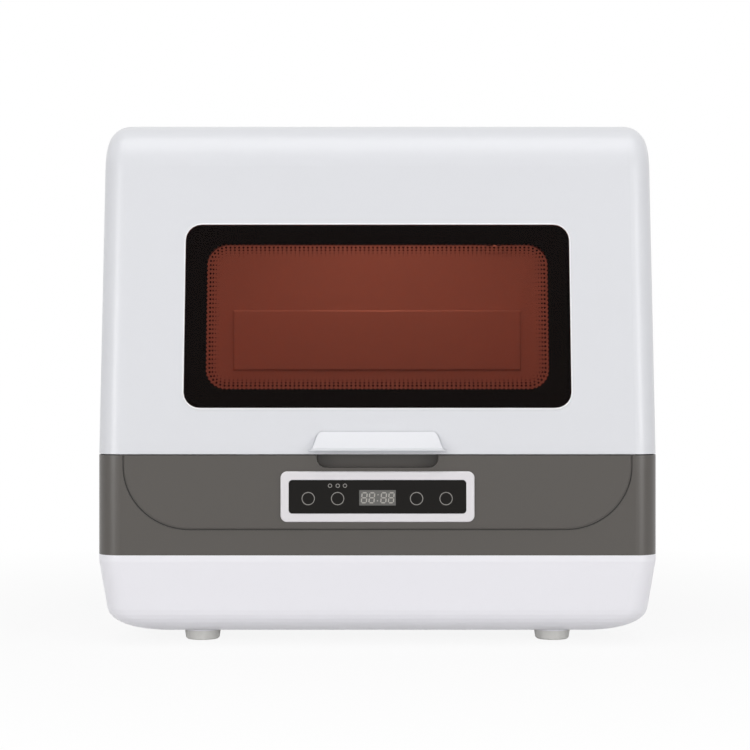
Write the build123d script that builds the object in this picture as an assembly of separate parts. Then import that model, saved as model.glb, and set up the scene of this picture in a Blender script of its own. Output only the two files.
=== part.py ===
from build123d import *
import math
import os

# Countertop dishwasher with a flip-up hood.
# Millimetres. +Z is up, the front faces -Y, +X is to the right seen from the front.
# The origin is on the ground in the middle of the overall footprint.

# ---------------------------------------------------------------- driving dimensions
WIDTH = 430.0            # overall width
BODY_FRONT = -199.0      # front face of the fixed body
BODY_REAR = 196.0        # rear face of the fixed body
TOP = 407.0              # top of the hood
EDGE_R = 18.0            # upright corners and roof edges of the casing
WALL = 2.5               # moulded casing wall
HOOK = 0.1               # fit of parts that are pressed or screwed together
RUN = 0.05               # radial clearance of shafts that turn
GAP = 0.3                # clearance between faces that part when something moves

FOOT_H = 7.4             # height of the feet under the base
FOOT_R_TOP = 14.2
FOOT_R_TIP = 13.2
FOOT_FROM_SIDE = 77.0
FOOT_FROM_END = 50.0
FOOT_RECESS_R = 6.0
FOOT_RECESS_H = 5.0

BASE_TOP = 70.0          # seam between the white base and the grey band
BASE_VERTICAL = 65.0     # the base's sides start to draw in below this height
BASE_DRAFT = 0.15        # inset for each millimetre below that height
BELLY_RUN = 38.0         # the rounding under the base: how far it runs in
BELLY_RISE = 20.0        # and how high it starts above the underside
VENT_FROM_SIDE = 65.0    # slots in the underside that let the pumps' air out
VENT_L = 40.0
VENT_W = 5.0
VENT_PITCH = 12.0
TONGUE_H = 4.0           # lip of the base that locates the band
TONGUE_T = 1.5

BAND_TOP = 146.5         # seam between band and hood
DECK_TOP = 144.5         # shelf inside the band that carries the tub
DECK_T = 2.5
APRON_LINE_Z = 90.0      # lower edge of the raised centre field of the band
APRON_CORNER = 51.0      # how wide its round lower corners are
APRON_FROM_SIDE = 21.0   # its upright sides, from the casing's
APRON_SHOULDER_Z = 138.0
APRON_PROUD = 1.2
GROOVE_W = 0.7           # shadow line round the raised field and round the pull lip
GROOVE_D = 0.8
LIP_GROOVE_D = 0.5
RECESS_W = 93.0          # finger recess under the pull lip
RECESS_BOTTOM_Z = 137.0
RECESS_DEPTH = 12.0
RECESS_R = 7.6

HOOD_GAP = 0.8           # seam between band and hood
LEAN_DEG = 8.3           # the hood's front leans back
BROW_R = 42.0            # rounding between the hood's front and roof
HINGE_BELOW_TOP = 13.0
HINGE_FROM_REAR = 46.0
HINGE_OPEN_DEG = 65.0
REAR_WALL_SHY = 0.5      # the fixed rear column's front wall is this far behind the hinge axis
TROUGH_CLEAR = 1.0       # round gap between the hood's nose and its trough
NOSE_TIP_R = 3.0         # small flat at each end of the nose
NOSE_SHY = 0.5           # each end stays this far inside the hood's side
SIDE_GAP = 1.0           # gap between the hood's sides and the rear column

WINDOW_W = 298.0         # outer glass, measured along the slope
WINDOW_H = 144.0
WINDOW_R = 12.5
WINDOW_ABOVE_BAND = 107.1
WINDOW_PROUD = 0.4
GLASS_T = 3.0
CLEAR_SIDE = 16.0        # the opening behind the glass ends this far inside its sides
CLEAR_END = 14.0         # and this far inside its upper and lower edge
CLEAR_R = 17.0
FRAME_MARGIN = 7.0       # how far the window frame reaches past the glass
INNER_GLASS_T = 2.0
INNER_GLASS_MARGIN = 5.0

LIP_REACH = 9.0          # how far the pull lip stands forward
LIP_BASE_W = 106.0
LIP_TOP_W = 84.0
LIP_SHOULDER = 6.5
LIP_LOW_Z = 150.3
LIP_HIGH_Z = 164.3
LIP_EDGE = 1.5
LIP_WALL = 2.0

PANEL_MID_Z = 115.0      # control panel
BEZEL_W = 148.0
BEZEL_H = 38.6
BEZEL_R = 5.0
BEZEL_PROUD = 2.0
PANEL_GLASS_SIDE = 6.35  # the bezel's width round the glass: at its sides
PANEL_GLASS_END = 6.5    # and above and below it
PANEL_GLASS_R = 2.8
PANEL_GLASS_T = 2.0
PANEL_GLASS_SET = 0.6    # the glass lies this far behind the bezel's face
DISPLAY_W = 27.8
DISPLAY_H = 11.7
DISPLAY_MID_Z = 114.2
DISPLAY_LEG_X = (-10.0, -5.0, 0.0, 5.0, 10.0)
DISPLAY_LEG_Z = 4.0
KEY_X = (-52.8, -30.4, 29.8, 52.3)
KEY_Z = 113.6
KEY_PAD_R = 4.5
BOARD_T = 1.6
PAD_LENGTH = 9.0

TUB_FROM_SIDE = 25.0     # wash chamber, inside the casing's sides
TUB_FROM_FRONT = 27.0
TUB_FROM_HINGE = 17.0
TUB_WALL = 2.0
TUB_FLOOR = 76.0
TUB_R = 20.0
TUB_FLOOR_R = 8.0
TUB_FLANGE = 8.0
SEAL_W = 6.0
SEAL_H = 2.0

LINER_INSET = 14.0       # hood liner inside the hood shell
LINER_T = 1.5
LINER_SHY = 3.0          # its rear edge stops this far in front of the back wall
LINER_FLANGE = 8.0

PANEL_T = 2.0            # fixed back wall of the chamber
PANEL_BELOW_TOP = 17.0
PANEL_RETURN_DROP = 16.0 # the returns round its back end this far below its top
FIELD_FROM_SIDE = 64.0   # moulded field in the back wall
FIELD_ABOVE_BAND = 65.5
FIELD_H = 57.0
FIELD_PROUD = 2.0
RIB_H = 39.0             # the two upright ribs above it
RIB_DROP = 70.0
LAMP_BELOW_TOP = 45.0    # lamp strip across the top of the back wall
LAMP_W = 62.0
LAMP_H = 12.0

SUMP_R = 73.0
SUMP_WALL = 3.0
SUMP_BOTTOM = 34.0
SUMP_FLANGE = 11.0
SUMP_LEDGE = 3.0
FILTER_PLATE_T = 2.0
FILTER_NEAR = 18.0       # the removable filter starts this far from the spray axis
FILTER_WALL = 1.5
FILTER_BOTTOM = 50.0
WASH_PORT_L = 16.0       # the sump's stubs to the wash pump and the drain pump
DRAIN_PORT_L = 14.0
WASH_MOTOR_L = 50.0
DRAIN_MOTOR_L = 41.0
DRAIN_SPOUT = 25.5       # the drain pump's outlet, from its axis
HOSE_R = 7.0
HOSE_BORE_R = 5.2
HOSE_BEND_R = 18.0

RISER_R = 11.0
RISER_SHOULDER_R = 14.0
RISER_BORE_R = 6.0
JOURNAL_R = 8.0
ARM_BOTTOM = 87.0
ARM_TOP = 101.0
ARM_END_ROOM = 7.5       # between the spray arm's tips and the chamber's front and back
ARM_HUB_R = 18.0
ARM_CAP_T = 3.5

HEATER_FROM_SUMP = 32.0
HEATER_TUBE_R = 3.2
HEATER_Z = 83.0

BASKET_SIDE_ROOM = 30.0  # between the basket's rim and the chamber
BASKET_END_ROOM = 22.0
RIM_R = 2.2
RIM_Z = 176.0
RAIL_Z = 148.0
WIRE_R = 1.5
WIRE_GAP = 0.05
CROSS_WIRE_Z = 108.5
BEND_R = 8.0
LONG_WIRES = 7
CROSS_WIRES = 8
WIRE_MARGIN_X = 22.0     # outermost wires, inside the rim's ends
WIRE_MARGIN_Y = 25.5
FOOT_MARGIN_Y = 32.5
COMB_SHARE = (-0.7, -0.3875, 0.05, 0.3625)   # where the tine rails lie, as shares of the basket's half width
COMB_MARGIN = 49.5
COMB_END = 6.0
TINES = 7
TINE_TOP = 178.0
TINE_LEAN = 6.0

CUTLERY_W = 44.0
CUTLERY_L = 130.0
CUTLERY_FROM_RIM = 12.0
CUTLERY_H = 74.0
CUTLERY_WALL = 1.8
CUTLERY_R = 6.0
CUTLERY_SLOT_W = 4.0
CUTLERY_SLOT_LOW = 10.0  # the slots start this far above the underside
CUTLERY_SLOT_HIGH = 30.0 # and end this far below the top

PIN_R = 3.5              # hinge pins
PIN_HEAD_R = 5.5
PIN_HEAD_T = 1.8
BARREL_R = 12.0          # fixed hinge barrel
BARREL_W = 14.0
FOOT_DROP = 64.0         # the bracket's foot starts this far below the axis
ARM_GAP = 2.0            # between barrel and arm
ARM_T = 3.0              # steel arm on the hood
ARM_FROM_SIDE = 10.0
ARM_RUN = 105.0
ARM_DROP = 57.0
ARM_EYE_R = 8.5
BUSH_R = 5.0
BUSH_FLANGE_R = 7.0
RIVET_DROP = ((97.0, 47.0), (50.0, 3.0))   # rivets in front of and below the hinge axis
RIVET_R = 2.0

LATCH_X = 100.0
TONGUE_W = 14.0
TONGUE_BELOW_DECK = 10.5
TONGUE_FROM_FRONT = 13.0
TONGUE_PLATE = 3.0
CLIP_T = 1.5
CLIP_SIDE_GAP = 0.2
SWITCH_FROM_LATCH = 40.0
SWITCH_FROM_FRONT = 11.0
PLUNGER_R = 2.0

FAN_FROM_SIDE = 105.0
FAN_BELOW_TOP = 61.0
FAN_BORE_R = 23.0
FAN_BOX = 52.0
FAN_DEPTH = 26.0
FAN_BLADES = 7
FAN_SHAFT_R = 2.0
DUCT_WALL = 2.0

SPIGOT_REACH = 12.0      # how far the water spigots stand behind the casing
SPIGOT_ABOVE_BASE = 28.0
INLET_R = 13.2           # three-quarter inch hose thread, over its crests
INLET_TUBE_R = 7.0
INLET_PITCH = 53.0       # between the two spigots
VALVE_SIZE = 36.0
VALVE_ROOM = 7.0
OUTLET_R = 9.5
OUTLET_STUB = 5.5        # end of the outlet inside the column, where the hose meets it
OUTLET_NOSE = 4.0        # tapered lead-in
SPIGOT_COLLAR = 1.5      # both spigots are thicker where they pass the rear wall
SPIGOT_FLANGE = 5.5
GLAND_R = 8.0
GLAND_BORE_R = 4.0
GLAND_REACH = 6.0

COVER_FROM_SIDE = 40.0
COVER_LOW = 125.0
COVER_BELOW_TOP = 27.0
COVER_T = 1.5
COVER_R = 8.0
COVER_LEDGE = 5.0
MAIN_BOARD_X = (-150.0, -50.0)
MAIN_BOARD_Z = (150.0, 290.0)
# Each part on the board: its middle from the board's lower left corner, its width, height and depth.
MAIN_BOARD_PARTS = ((20.0, 110.0, 24.0, 20.0, 14.0), (55.0, 112.0, 18.0, 14.0, 12.0),
                    (80.0, 112.0, 18.0, 14.0, 12.0), (30.0, 55.0, 30.0, 34.0, 22.0),
                    (75.0, 65.0, 22.0, 30.0, 4.0), (50.0, 15.0, 70.0, 10.0, 8.0))
SCREW_R = 1.75
SCREW_HEAD_R = 3.6
SCREW_HEAD_T = 2.0

# ---------------------------------------------------------------- derived places
HALF = WIDTH / 2
FRONT_REACH = BODY_FRONT - LIP_REACH
REAR_REACH = BODY_REAR + SPIGOT_REACH
HINGE_Y = BODY_REAR - HINGE_FROM_REAR
HINGE_Z = TOP - HINGE_BELOW_TOP
REAR_WALL_Y = HINGE_Y + REAR_WALL_SHY
FOOT_X = HALF - FOOT_FROM_SIDE
APRON_SIDE_X = HALF - APRON_FROM_SIDE
APRON_FLAT_X = APRON_SIDE_X - APRON_CORNER
WINDOW_MID_Z = BAND_TOP + WINDOW_ABOVE_BAND
CLEAR_W = WINDOW_W - 2 * CLEAR_SIDE
CLEAR_H = WINDOW_H - 2 * CLEAR_END
TUB_IN_X = HALF - TUB_FROM_SIDE
TUB_IN_FRONT = BODY_FRONT + TUB_FROM_FRONT
TUB_IN_REAR = HINGE_Y - TUB_FROM_HINGE
BODY_MID_Y = (BODY_FRONT + BODY_REAR) / 2
BODY_DEPTH = BODY_REAR - BODY_FRONT
LEAN = math.radians(LEAN_DEG)
HOOD_BOTTOM = BAND_TOP + HOOD_GAP
NOSE_R = TOP - HINGE_Z
TUB_MID_Y = (TUB_IN_FRONT + TUB_IN_REAR) / 2
TUB_UNDER = TUB_FLOOR - TUB_WALL
TUB_REAR = TUB_IN_REAR + TUB_WALL
TUB_HALF = TUB_IN_X + TUB_WALL
TUB_HALF_Y = (TUB_IN_REAR - TUB_IN_FRONT) / 2
LINER_REAR = TUB_IN_REAR - LINER_SHY
LINER_IN_X = HALF - LINER_INSET - LINER_T
BACK_SEAL_X = LINER_IN_X - 0.5
PANEL_HALF = LINER_IN_X + 0.5
PANEL_TOP = TOP - PANEL_BELOW_TOP
PANEL_RETURN_TOP = PANEL_TOP - PANEL_RETURN_DROP
FIELD_HALF = PANEL_HALF - FIELD_FROM_SIDE
FIELD_LOW = BAND_TOP + FIELD_ABOVE_BAND
FIELD_HIGH = FIELD_LOW + FIELD_H
RIB_TOP = PANEL_TOP - RIB_DROP
LAMP_Z = TOP - LAMP_BELOW_TOP
ARM_LENGTH = TUB_HALF_Y - ARM_END_ROOM
BASKET_HALF_X = TUB_IN_X - BASKET_SIDE_ROOM
BASKET_HALF_Y = TUB_HALF_Y - BASKET_END_ROOM
CROSS_WIRE_SPAN = 2 * (BASKET_HALF_X - WIRE_MARGIN_X)
LONG_WIRE_SPAN = 2 * (BASKET_HALF_Y - WIRE_MARGIN_Y)
COMB_X = [share * BASKET_HALF_X for share in COMB_SHARE]
COMB_SPAN = 2 * (BASKET_HALF_Y - COMB_MARGIN)
CUTLERY_X = (BASKET_HALF_X - CUTLERY_FROM_RIM - CUTLERY_W, BASKET_HALF_X - CUTLERY_FROM_RIM)
CUTLERY_Y = (TUB_MID_Y - CUTLERY_L / 2, TUB_MID_Y + CUTLERY_L / 2)
ARM_X = (HALF - ARM_FROM_SIDE - ARM_T, HALF - ARM_FROM_SIDE)
BARREL_X = (ARM_X[0] - ARM_GAP - BARREL_W, ARM_X[0] - ARM_GAP)
RIVETS = [(HINGE_Y - back, HINGE_Z - drop) for back, drop in RIVET_DROP]
TONGUE_BOTTOM = DECK_TOP - TONGUE_BELOW_DECK
TONGUE_Y = (BODY_FRONT + TONGUE_FROM_FRONT, BODY_FRONT + TONGUE_FROM_FRONT + TONGUE_PLATE)
SWITCH_X = -LATCH_X - SWITCH_FROM_LATCH
SWITCH_Y = BODY_FRONT + SWITCH_FROM_FRONT
FAN_X = HALF - FAN_FROM_SIDE
FAN_Z = TOP - FAN_BELOW_TOP
SPIGOT_Z = BASE_TOP + SPIGOT_ABOVE_BASE
COVER_W = WIDTH - 2 * COVER_FROM_SIDE
COVER_HIGH = TOP - COVER_BELOW_TOP
COVER_MID_Z = (COVER_LOW + COVER_HIGH) / 2
COVER_FRONT = BODY_REAR - COVER_T
RIM_TOP = DECK_TOP + TUB_WALL
SEAL_TOP = RIM_TOP + SEAL_H
LINER_BOTTOM = SEAL_TOP + GAP
APRON_FRONT = BODY_FRONT - APRON_PROUD
BEZEL_FRONT = APRON_FRONT - BEZEL_PROUD
PANEL_GLASS_FRONT = BEZEL_FRONT + PANEL_GLASS_SET
PANEL_GLASS_REAR = PANEL_GLASS_FRONT + PANEL_GLASS_T
BOARD_FRONT = PANEL_GLASS_REAR + PAD_LENGTH
PANEL_GLASS_W = BEZEL_W - 2 * PANEL_GLASS_SIDE
PANEL_GLASS_H = BEZEL_H - 2 * PANEL_GLASS_END
COLUMN_IN_FRONT = REAR_WALL_Y + WALL
COLUMN_IN_REAR = BODY_REAR - WALL
LONG_WIRE_Z = CROSS_WIRE_Z + 2 * WIRE_R + WIRE_GAP
COMB_Z = LONG_WIRE_Z + 2 * WIRE_R + WIRE_GAP
WIRE_END_X = BASKET_HALF_X - RIM_R - WIRE_R - WIRE_GAP
WIRE_END_Y = BASKET_HALF_Y - RIM_R - WIRE_R - WIRE_GAP
CUTLERY_BOTTOM = LONG_WIRE_Z + WIRE_R + GAP
SPRAY_AXIS = (0.0, TUB_MID_Y)
FAN_Y = (COLUMN_IN_FRONT + 3.0, COLUMN_IN_FRONT + 3.0 + FAN_DEPTH)
VALVE_FRONT = COLUMN_IN_FRONT + VALVE_ROOM
DUCT_Z = FOOT_H + 18.6       # wash duct, low in the base
SUMP_FLANGE_R = SUMP_R + SUMP_FLANGE
HEATER_R = SUMP_R + HEATER_FROM_SUMP
FILTER_R = (SUMP_R - SUMP_LEDGE - FILTER_NEAR) / 2
FILTER_X = FILTER_NEAR + FILTER_R
SUMP_PORT_Z = SUMP_BOTTOM + 14.0
WASH_PORT_X = 1.0 - SUMP_R - WASH_PORT_L
DRAIN_PORT_X = SUMP_R - 1.0 + DRAIN_PORT_L
OUTLET_X = DRAIN_PORT_X + 11.0
INLET_X = OUTLET_X + INLET_PITCH
GLAND_X = -INLET_X


# ---------------------------------------------------------------- small helpers
def block(x, y, z):
    """A box given by its low and high limits on each axis."""
    middle = Pos((x[0] + x[1]) / 2, (y[0] + y[1]) / 2, (z[0] + z[1]) / 2)
    return middle * Box(x[1] - x[0], y[1] - y[0], z[1] - z[0])


def rod(start, end, radius):
    """A round bar between two points."""
    line = Vector(*end) - Vector(*start)
    seat = Plane(origin=start, z_dir=line)
    return seat * Cylinder(radius, line.length, align=(Align.CENTER, Align.CENTER, Align.MIN))


def pipe(start, end, radius, bore):
    """A round tube between two points."""
    line = Vector(*end) - Vector(*start)
    seat = Plane(origin=start, z_dir=line)
    align = (Align.CENTER, Align.CENTER, Align.MIN)
    return seat * (Cylinder(radius, line.length, align=align) - Cylinder(bore, line.length, align=align))


def prism_x(points, x):
    """An outline of (y, z) points carried along X."""
    outline = make_face(Polyline(*points, close=True))
    return Pos(x[0], 0, 0) * extrude(Plane.YZ * outline, amount=x[1] - x[0])


def turned(points, x=0.0, y=0.0):
    """A profile of (radius, z) points turned about an upright axis."""
    outline = make_face(Polyline(*points, close=True))
    return Pos(x, y, 0) * revolve(Plane.XZ * outline, Axis.Z)


def plan(inset, radius, z, height):
    """The casing's rounded plan, drawn in by an inset, from z up."""
    sheet = RectangleRounded(WIDTH - 2 * inset, BODY_DEPTH - 2 * inset, radius)
    return extrude(Pos(0, BODY_MID_Y, z) * sheet, amount=height)


def both(shape):
    """The shape and its mirror image across the middle plane, as two solids."""
    return shape + mirror(shape, about=Plane.YZ)


def front_y(z):
    """Where the hood's leaning front is at height z."""
    return BODY_FRONT + (z - BAND_TOP) * math.tan(LEAN)


def slope(z):
    """A plane on the hood's front at height z: X across, Y up the slope, Z out."""
    return Plane(origin=(0, front_y(z), z), x_dir=(1, 0, 0), z_dir=(0, -math.cos(LEAN), math.sin(LEAN)))


def slope_plate(width, height, radius, low, high):
    """A rounded plate parallel to the window, between two distances out from the front."""
    sheet = slope(WINDOW_MID_Z) * (Pos(0, 0, low) * RectangleRounded(width, height, radius))
    return extrude(sheet, amount=high - low)


def front_plate(width, height, radius, mid_z, y):
    """A rounded upright plate facing the front, between two depths."""
    facing = Plane(origin=(0, y[1], mid_z), x_dir=(1, 0, 0), z_dir=(0, -1, 0))
    return extrude(facing * RectangleRounded(width, height, radius), amount=y[1] - y[0])


def save(shape, node):
    """Write one piece, or one group of like pieces, as a STEP file."""
    export_step(Compound(children=list(shape.solids())) if len(shape.solids()) > 1 else shape.solid(),
                f"parts/{node}.step")


# ---------------------------------------------------------------- base and feet
def base_inset(z):
    """How far the base has drawn in at height z: a straight draft plus a quarter ellipse below."""
    draft = BASE_DRAFT * max(0.0, BASE_VERTICAL - z)
    drop = (FOOT_H + BELLY_RISE - z) / BELLY_RISE
    belly = BELLY_RUN * (1 - math.sqrt(max(0.0, 1 - drop * drop))) if drop > 0 else 0.0
    return draft + belly


def base_section(z, wall):
    """The base's rounded plan at height z, drawn in and lifted by a wall's thickness."""
    inset = base_inset(z) + wall
    lift = wall * (BASE_VERTICAL - z) / (BASE_VERTICAL - FOOT_H)
    sheet = RectangleRounded(WIDTH - 2 * inset, BODY_DEPTH - 2 * inset, EDGE_R)
    return Pos(0, BODY_MID_Y, z + lift) * sheet


def base_form(wall):
    """The bowl-shaped base, or the space inside it at a wall's distance."""
    belly_top = FOOT_H + BELLY_RISE
    steps = [FOOT_H + BELLY_RISE * (1 - math.sin(math.radians(10 * step))) for step in range(10)]
    belly = loft([base_section(z, wall) for z in sorted(steps)], ruled=True)
    sides = loft([base_section(belly_top, wall), base_section(BASE_VERTICAL, wall)], ruled=True)
    return belly + sides + plan(wall, EDGE_R, BASE_VERTICAL, BASE_TOP - BASE_VERTICAL)


def foot_places():
    ends = (BODY_FRONT + FOOT_FROM_END, BODY_REAR - FOOT_FROM_END)
    return [(x, y) for x in (-FOOT_X, FOOT_X) for y in ends]


def make_base_shell():
    shell = base_form(0) - base_form(WALL)
    tongue = plan(WALL + HOOK, EDGE_R - WALL, BASE_TOP - TONGUE_H, 2 * TONGUE_H)
    tongue -= plan(WALL + HOOK + TONGUE_T, EDGE_R - WALL - TONGUE_T, BASE_TOP - TONGUE_H, 2 * TONGUE_H)
    shell += tongue
    shell += plan(WALL / 2, EDGE_R, BASE_TOP - TONGUE_H, TONGUE_H) - plan(
        WALL + HOOK + TONGUE_T, EDGE_R - WALL - TONGUE_T, BASE_TOP - TONGUE_H, TONGUE_H)
    column_wall = (REAR_WALL_Y - HOOK, COLUMN_IN_FRONT + HOOK)
    shell -= block((-HALF, HALF), column_wall, (BASE_TOP, BASE_TOP + TONGUE_H))
    pad_top = FOOT_H + 16.0
    for x, y in foot_places():
        shell += rod((x, y, FOOT_H), (x, y, pad_top), FOOT_R_TOP + 1.0)
    for x, y in foot_places():
        shell -= rod((x, y, FOOT_H), (x, y, pad_top - 3.0), SCREW_R + HOOK)
    slots = [block((x, x + VENT_L), (y, y + VENT_W), (0, BASE_TOP / 2))
             for x in (VENT_FROM_SIDE - HALF, HALF - VENT_FROM_SIDE - VENT_L)
             for y in [TUB_MID_Y + VENT_PITCH * step - VENT_W / 2 for step in (-1.5, -0.5, 0.5, 1.5)]]
    return shell - Compound(children=slots)


def make_feet():
    foot = turned([(0, FOOT_RECESS_H), (FOOT_RECESS_R, FOOT_RECESS_H), (FOOT_RECESS_R, 0),
                   (FOOT_R_TIP - 1.0, 0), (FOOT_R_TIP, 1.0), (FOOT_R_TOP, FOOT_H), (0, FOOT_H)])
    foot -= rod((0, 0, 0), (0, 0, FOOT_H), SCREW_R + HOOK)
    return Compound(children=[Pos(x, y, 0) * foot for x, y in foot_places()])


def make_foot_screws():
    head_z = FOOT_RECESS_H - SCREW_HEAD_T
    screw = rod((0, 0, head_z), (0, 0, FOOT_RECESS_H), SCREW_HEAD_R)
    screw += rod((0, 0, FOOT_RECESS_H), (0, 0, FOOT_H + 12.0), SCREW_R)
    return Compound(children=[Pos(x, y, 0) * screw for x, y in foot_places()])


# ---------------------------------------------------------------- band and control panel
def apron_outline(shrink):
    """The raised field of the band: flat below, quarter ellipses up to the upright sides."""
    side = APRON_SIDE_X - shrink
    low = APRON_LINE_Z + shrink
    flat = APRON_FLAT_X - shrink
    rise = APRON_SHOULDER_Z - low
    right = EllipticalCenterArc((flat, APRON_SHOULDER_Z), side - flat, rise, start_angle=270, arc_size=90)
    left = EllipticalCenterArc((-flat, APRON_SHOULDER_Z), side - flat, rise, start_angle=180, arc_size=90)
    top = Polyline((side, APRON_SHOULDER_Z), (side, BAND_TOP), (-side, BAND_TOP), (-side, APRON_SHOULDER_Z))
    return make_face([right, top, left, Line((-flat, low), (flat, low))])


def make_apron():
    """The raised field with a bevelled edge, standing proud of the band's front."""
    rear = Plane(origin=(0, BODY_FRONT + 0.5, 0), x_dir=(1, 0, 0), z_dir=(0, -1, 0))
    root = Plane(origin=(0, BODY_FRONT, 0), x_dir=(1, 0, 0), z_dir=(0, -1, 0))
    crest = Plane(origin=(0, APRON_FRONT, 0), x_dir=(1, 0, 0), z_dir=(0, -1, 0))
    field = loft([root * apron_outline(0.0), crest * apron_outline(APRON_PROUD)], ruled=True)
    return field + extrude(rear * apron_outline(0.0), amount=0.5)


def make_apron_groove():
    """The narrow channel in the band's front that runs round the raised field."""
    floor = Plane(origin=(0, BODY_FRONT + GROOVE_D, 0), x_dir=(1, 0, 0), z_dir=(0, -1, 0))
    ring = extrude(floor * apron_outline(-GROOVE_W), amount=GROOVE_D)
    return ring - extrude(floor * apron_outline(0.0), amount=GROOVE_D)


def make_mid_band():
    band = plan(0, EDGE_R, BASE_TOP, BAND_TOP - BASE_TOP) - make_apron_groove()
    band += make_apron()
    inner_r = EDGE_R - WALL
    band -= plan(WALL, inner_r, BASE_TOP, DECK_TOP - DECK_T - BASE_TOP)
    band -= plan(WALL, inner_r, DECK_TOP, BAND_TOP - DECK_TOP)
    band -= block((-HALF, HALF), (REAR_WALL_Y, BODY_REAR), (BASE_TOP, BAND_TOP))
    band -= block((-TUB_HALF - 2.0, TUB_HALF + 2.0), (TUB_IN_FRONT - TUB_WALL - 2.0, TUB_REAR + 2.0),
                  (DECK_TOP - DECK_T, DECK_TOP))
    half = RECESS_W / 2
    band += block((-half - WALL, half + WALL), (BODY_FRONT + 1.0, BODY_FRONT + RECESS_DEPTH + WALL),
                  (RECESS_BOTTOM_Z - WALL, BAND_TOP))
    recess = block((-half, half), (APRON_FRONT, BODY_FRONT + RECESS_DEPTH),
                   (RECESS_BOTTOM_Z, BAND_TOP + RECESS_R))
    lower = recess.edges().filter_by(Axis.Y).group_by(Axis.Z)[0]
    band -= fillet(lower, RECESS_R)
    band -= front_plate(BEZEL_W - 6.0, BEZEL_H - 6.0, 2.0, PANEL_MID_Z, (APRON_FRONT, BODY_FRONT + WALL))
    slot = block((LATCH_X - TONGUE_W / 2 - 1.0, LATCH_X + TONGUE_W / 2 + 1.0),
                 (BODY_FRONT + WALL + 0.1, TONGUE_Y[1] + 0.8), (DECK_TOP - DECK_T, DECK_TOP))
    band -= both(slot)
    band -= rod((SWITCH_X, SWITCH_Y, DECK_TOP - DECK_T), (SWITCH_X, SWITCH_Y, DECK_TOP), PLUNGER_R + GAP)
    return band


def make_control_bezel():
    bezel = front_plate(BEZEL_W, BEZEL_H, BEZEL_R, PANEL_MID_Z, (BEZEL_FRONT, APRON_FRONT))
    rim = bezel.faces().sort_by(Axis.Y)[0].edges()
    bezel = fillet(rim, 1.2)
    bezel += front_plate(BEZEL_W - 6.0 - 2 * HOOK, BEZEL_H - 6.0 - 2 * HOOK, 2.0, PANEL_MID_Z,
                         (APRON_FRONT, BODY_FRONT + WALL + 1.5))
    bezel -= front_plate(PANEL_GLASS_W + 2 * HOOK, PANEL_GLASS_H + 2 * HOOK, PANEL_GLASS_R, PANEL_MID_Z,
                         (BEZEL_FRONT, PANEL_GLASS_REAR))
    bezel -= front_plate(PANEL_GLASS_W - 3.0, PANEL_GLASS_H - 3.0, 1.0, PANEL_MID_Z,
                         (BEZEL_FRONT, BODY_FRONT + WALL + 1.5))
    return bezel


def make_control_glass():
    return front_plate(PANEL_GLASS_W, PANEL_GLASS_H, PANEL_GLASS_R, PANEL_MID_Z,
                       (PANEL_GLASS_FRONT, PANEL_GLASS_REAR))


def make_display_module():
    display = front_plate(DISPLAY_W, DISPLAY_H, 0.5, DISPLAY_MID_Z, (PANEL_GLASS_REAR + HOOK, BOARD_FRONT))
    legs = [rod((x, BOARD_FRONT, z), (x, BOARD_FRONT + BOARD_T + 1.0, z), 0.4) for x in DISPLAY_LEG_X
            for z in (DISPLAY_MID_Z - DISPLAY_LEG_Z, DISPLAY_MID_Z + DISPLAY_LEG_Z)]
    return display + Compound(children=legs)


def make_control_board():
    board = front_plate(BEZEL_W - 10.0, 30.0, 1.0, PANEL_MID_Z - 1.0, (BOARD_FRONT, BOARD_FRONT + BOARD_T))
    rear = BOARD_FRONT + BOARD_T
    for x in DISPLAY_LEG_X:
        for z in (DISPLAY_MID_Z - DISPLAY_LEG_Z, DISPLAY_MID_Z + DISPLAY_LEG_Z):
            board -= rod((x, BOARD_FRONT, z), (x, rear, z), 0.5)
    board += block((-60.0, -38.0), (rear, rear + 5.0), (PANEL_MID_Z - 7.0, PANEL_MID_Z + 7.0))
    board += block((30.0, 42.0), (rear, rear + 1.6), (PANEL_MID_Z - 7.0, PANEL_MID_Z + 5.0))
    post_y = (BODY_FRONT + WALL + 1.5, BOARD_FRONT)
    for x in (-BEZEL_W / 2 + 8.0, BEZEL_W / 2 - 8.0):
        board += rod((x, post_y[0], PANEL_MID_Z - 12.5), (x, post_y[1], PANEL_MID_Z - 12.5), 2.2)
        board += rod((x, post_y[0], PANEL_MID_Z + 11.5), (x, post_y[1], PANEL_MID_Z + 11.5), 2.2)
    return board


def make_touch_pads():
    pads = [rod((x, PANEL_GLASS_REAR, KEY_Z), (x, BOARD_FRONT, KEY_Z), KEY_PAD_R) for x in KEY_X]
    return Compound(children=pads)


# ---------------------------------------------------------------- hood
def hood_form(inset, bottom, rear):
    """The hood's outer form drawn in by an inset: leaning front, round brow, flat roof, round edges."""
    shift = inset / math.cos(LEAN)
    roof = TOP - inset
    corner = (front_y(roof) + shift, roof)
    outline = [(front_y(bottom) + shift, bottom), corner, (rear, roof), (rear, bottom)]
    form = prism_x(outline, (inset - HALF, HALF - inset))
    brow = form.edges().filter_by(Axis.X).sort_by(Axis.Z)[-2:].sort_by(Axis.Y)[0]
    form = fillet(brow, BROW_R - inset)
    sides = [edge for edge in form.edges()
             if abs(abs(edge.center().X) - (HALF - inset)) < 1e-4
             and edge.center().Z > bottom + 1.0 and edge.center().Y < rear - 1.0]
    return fillet(sides, max(EDGE_R - inset, 1.5))


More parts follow.
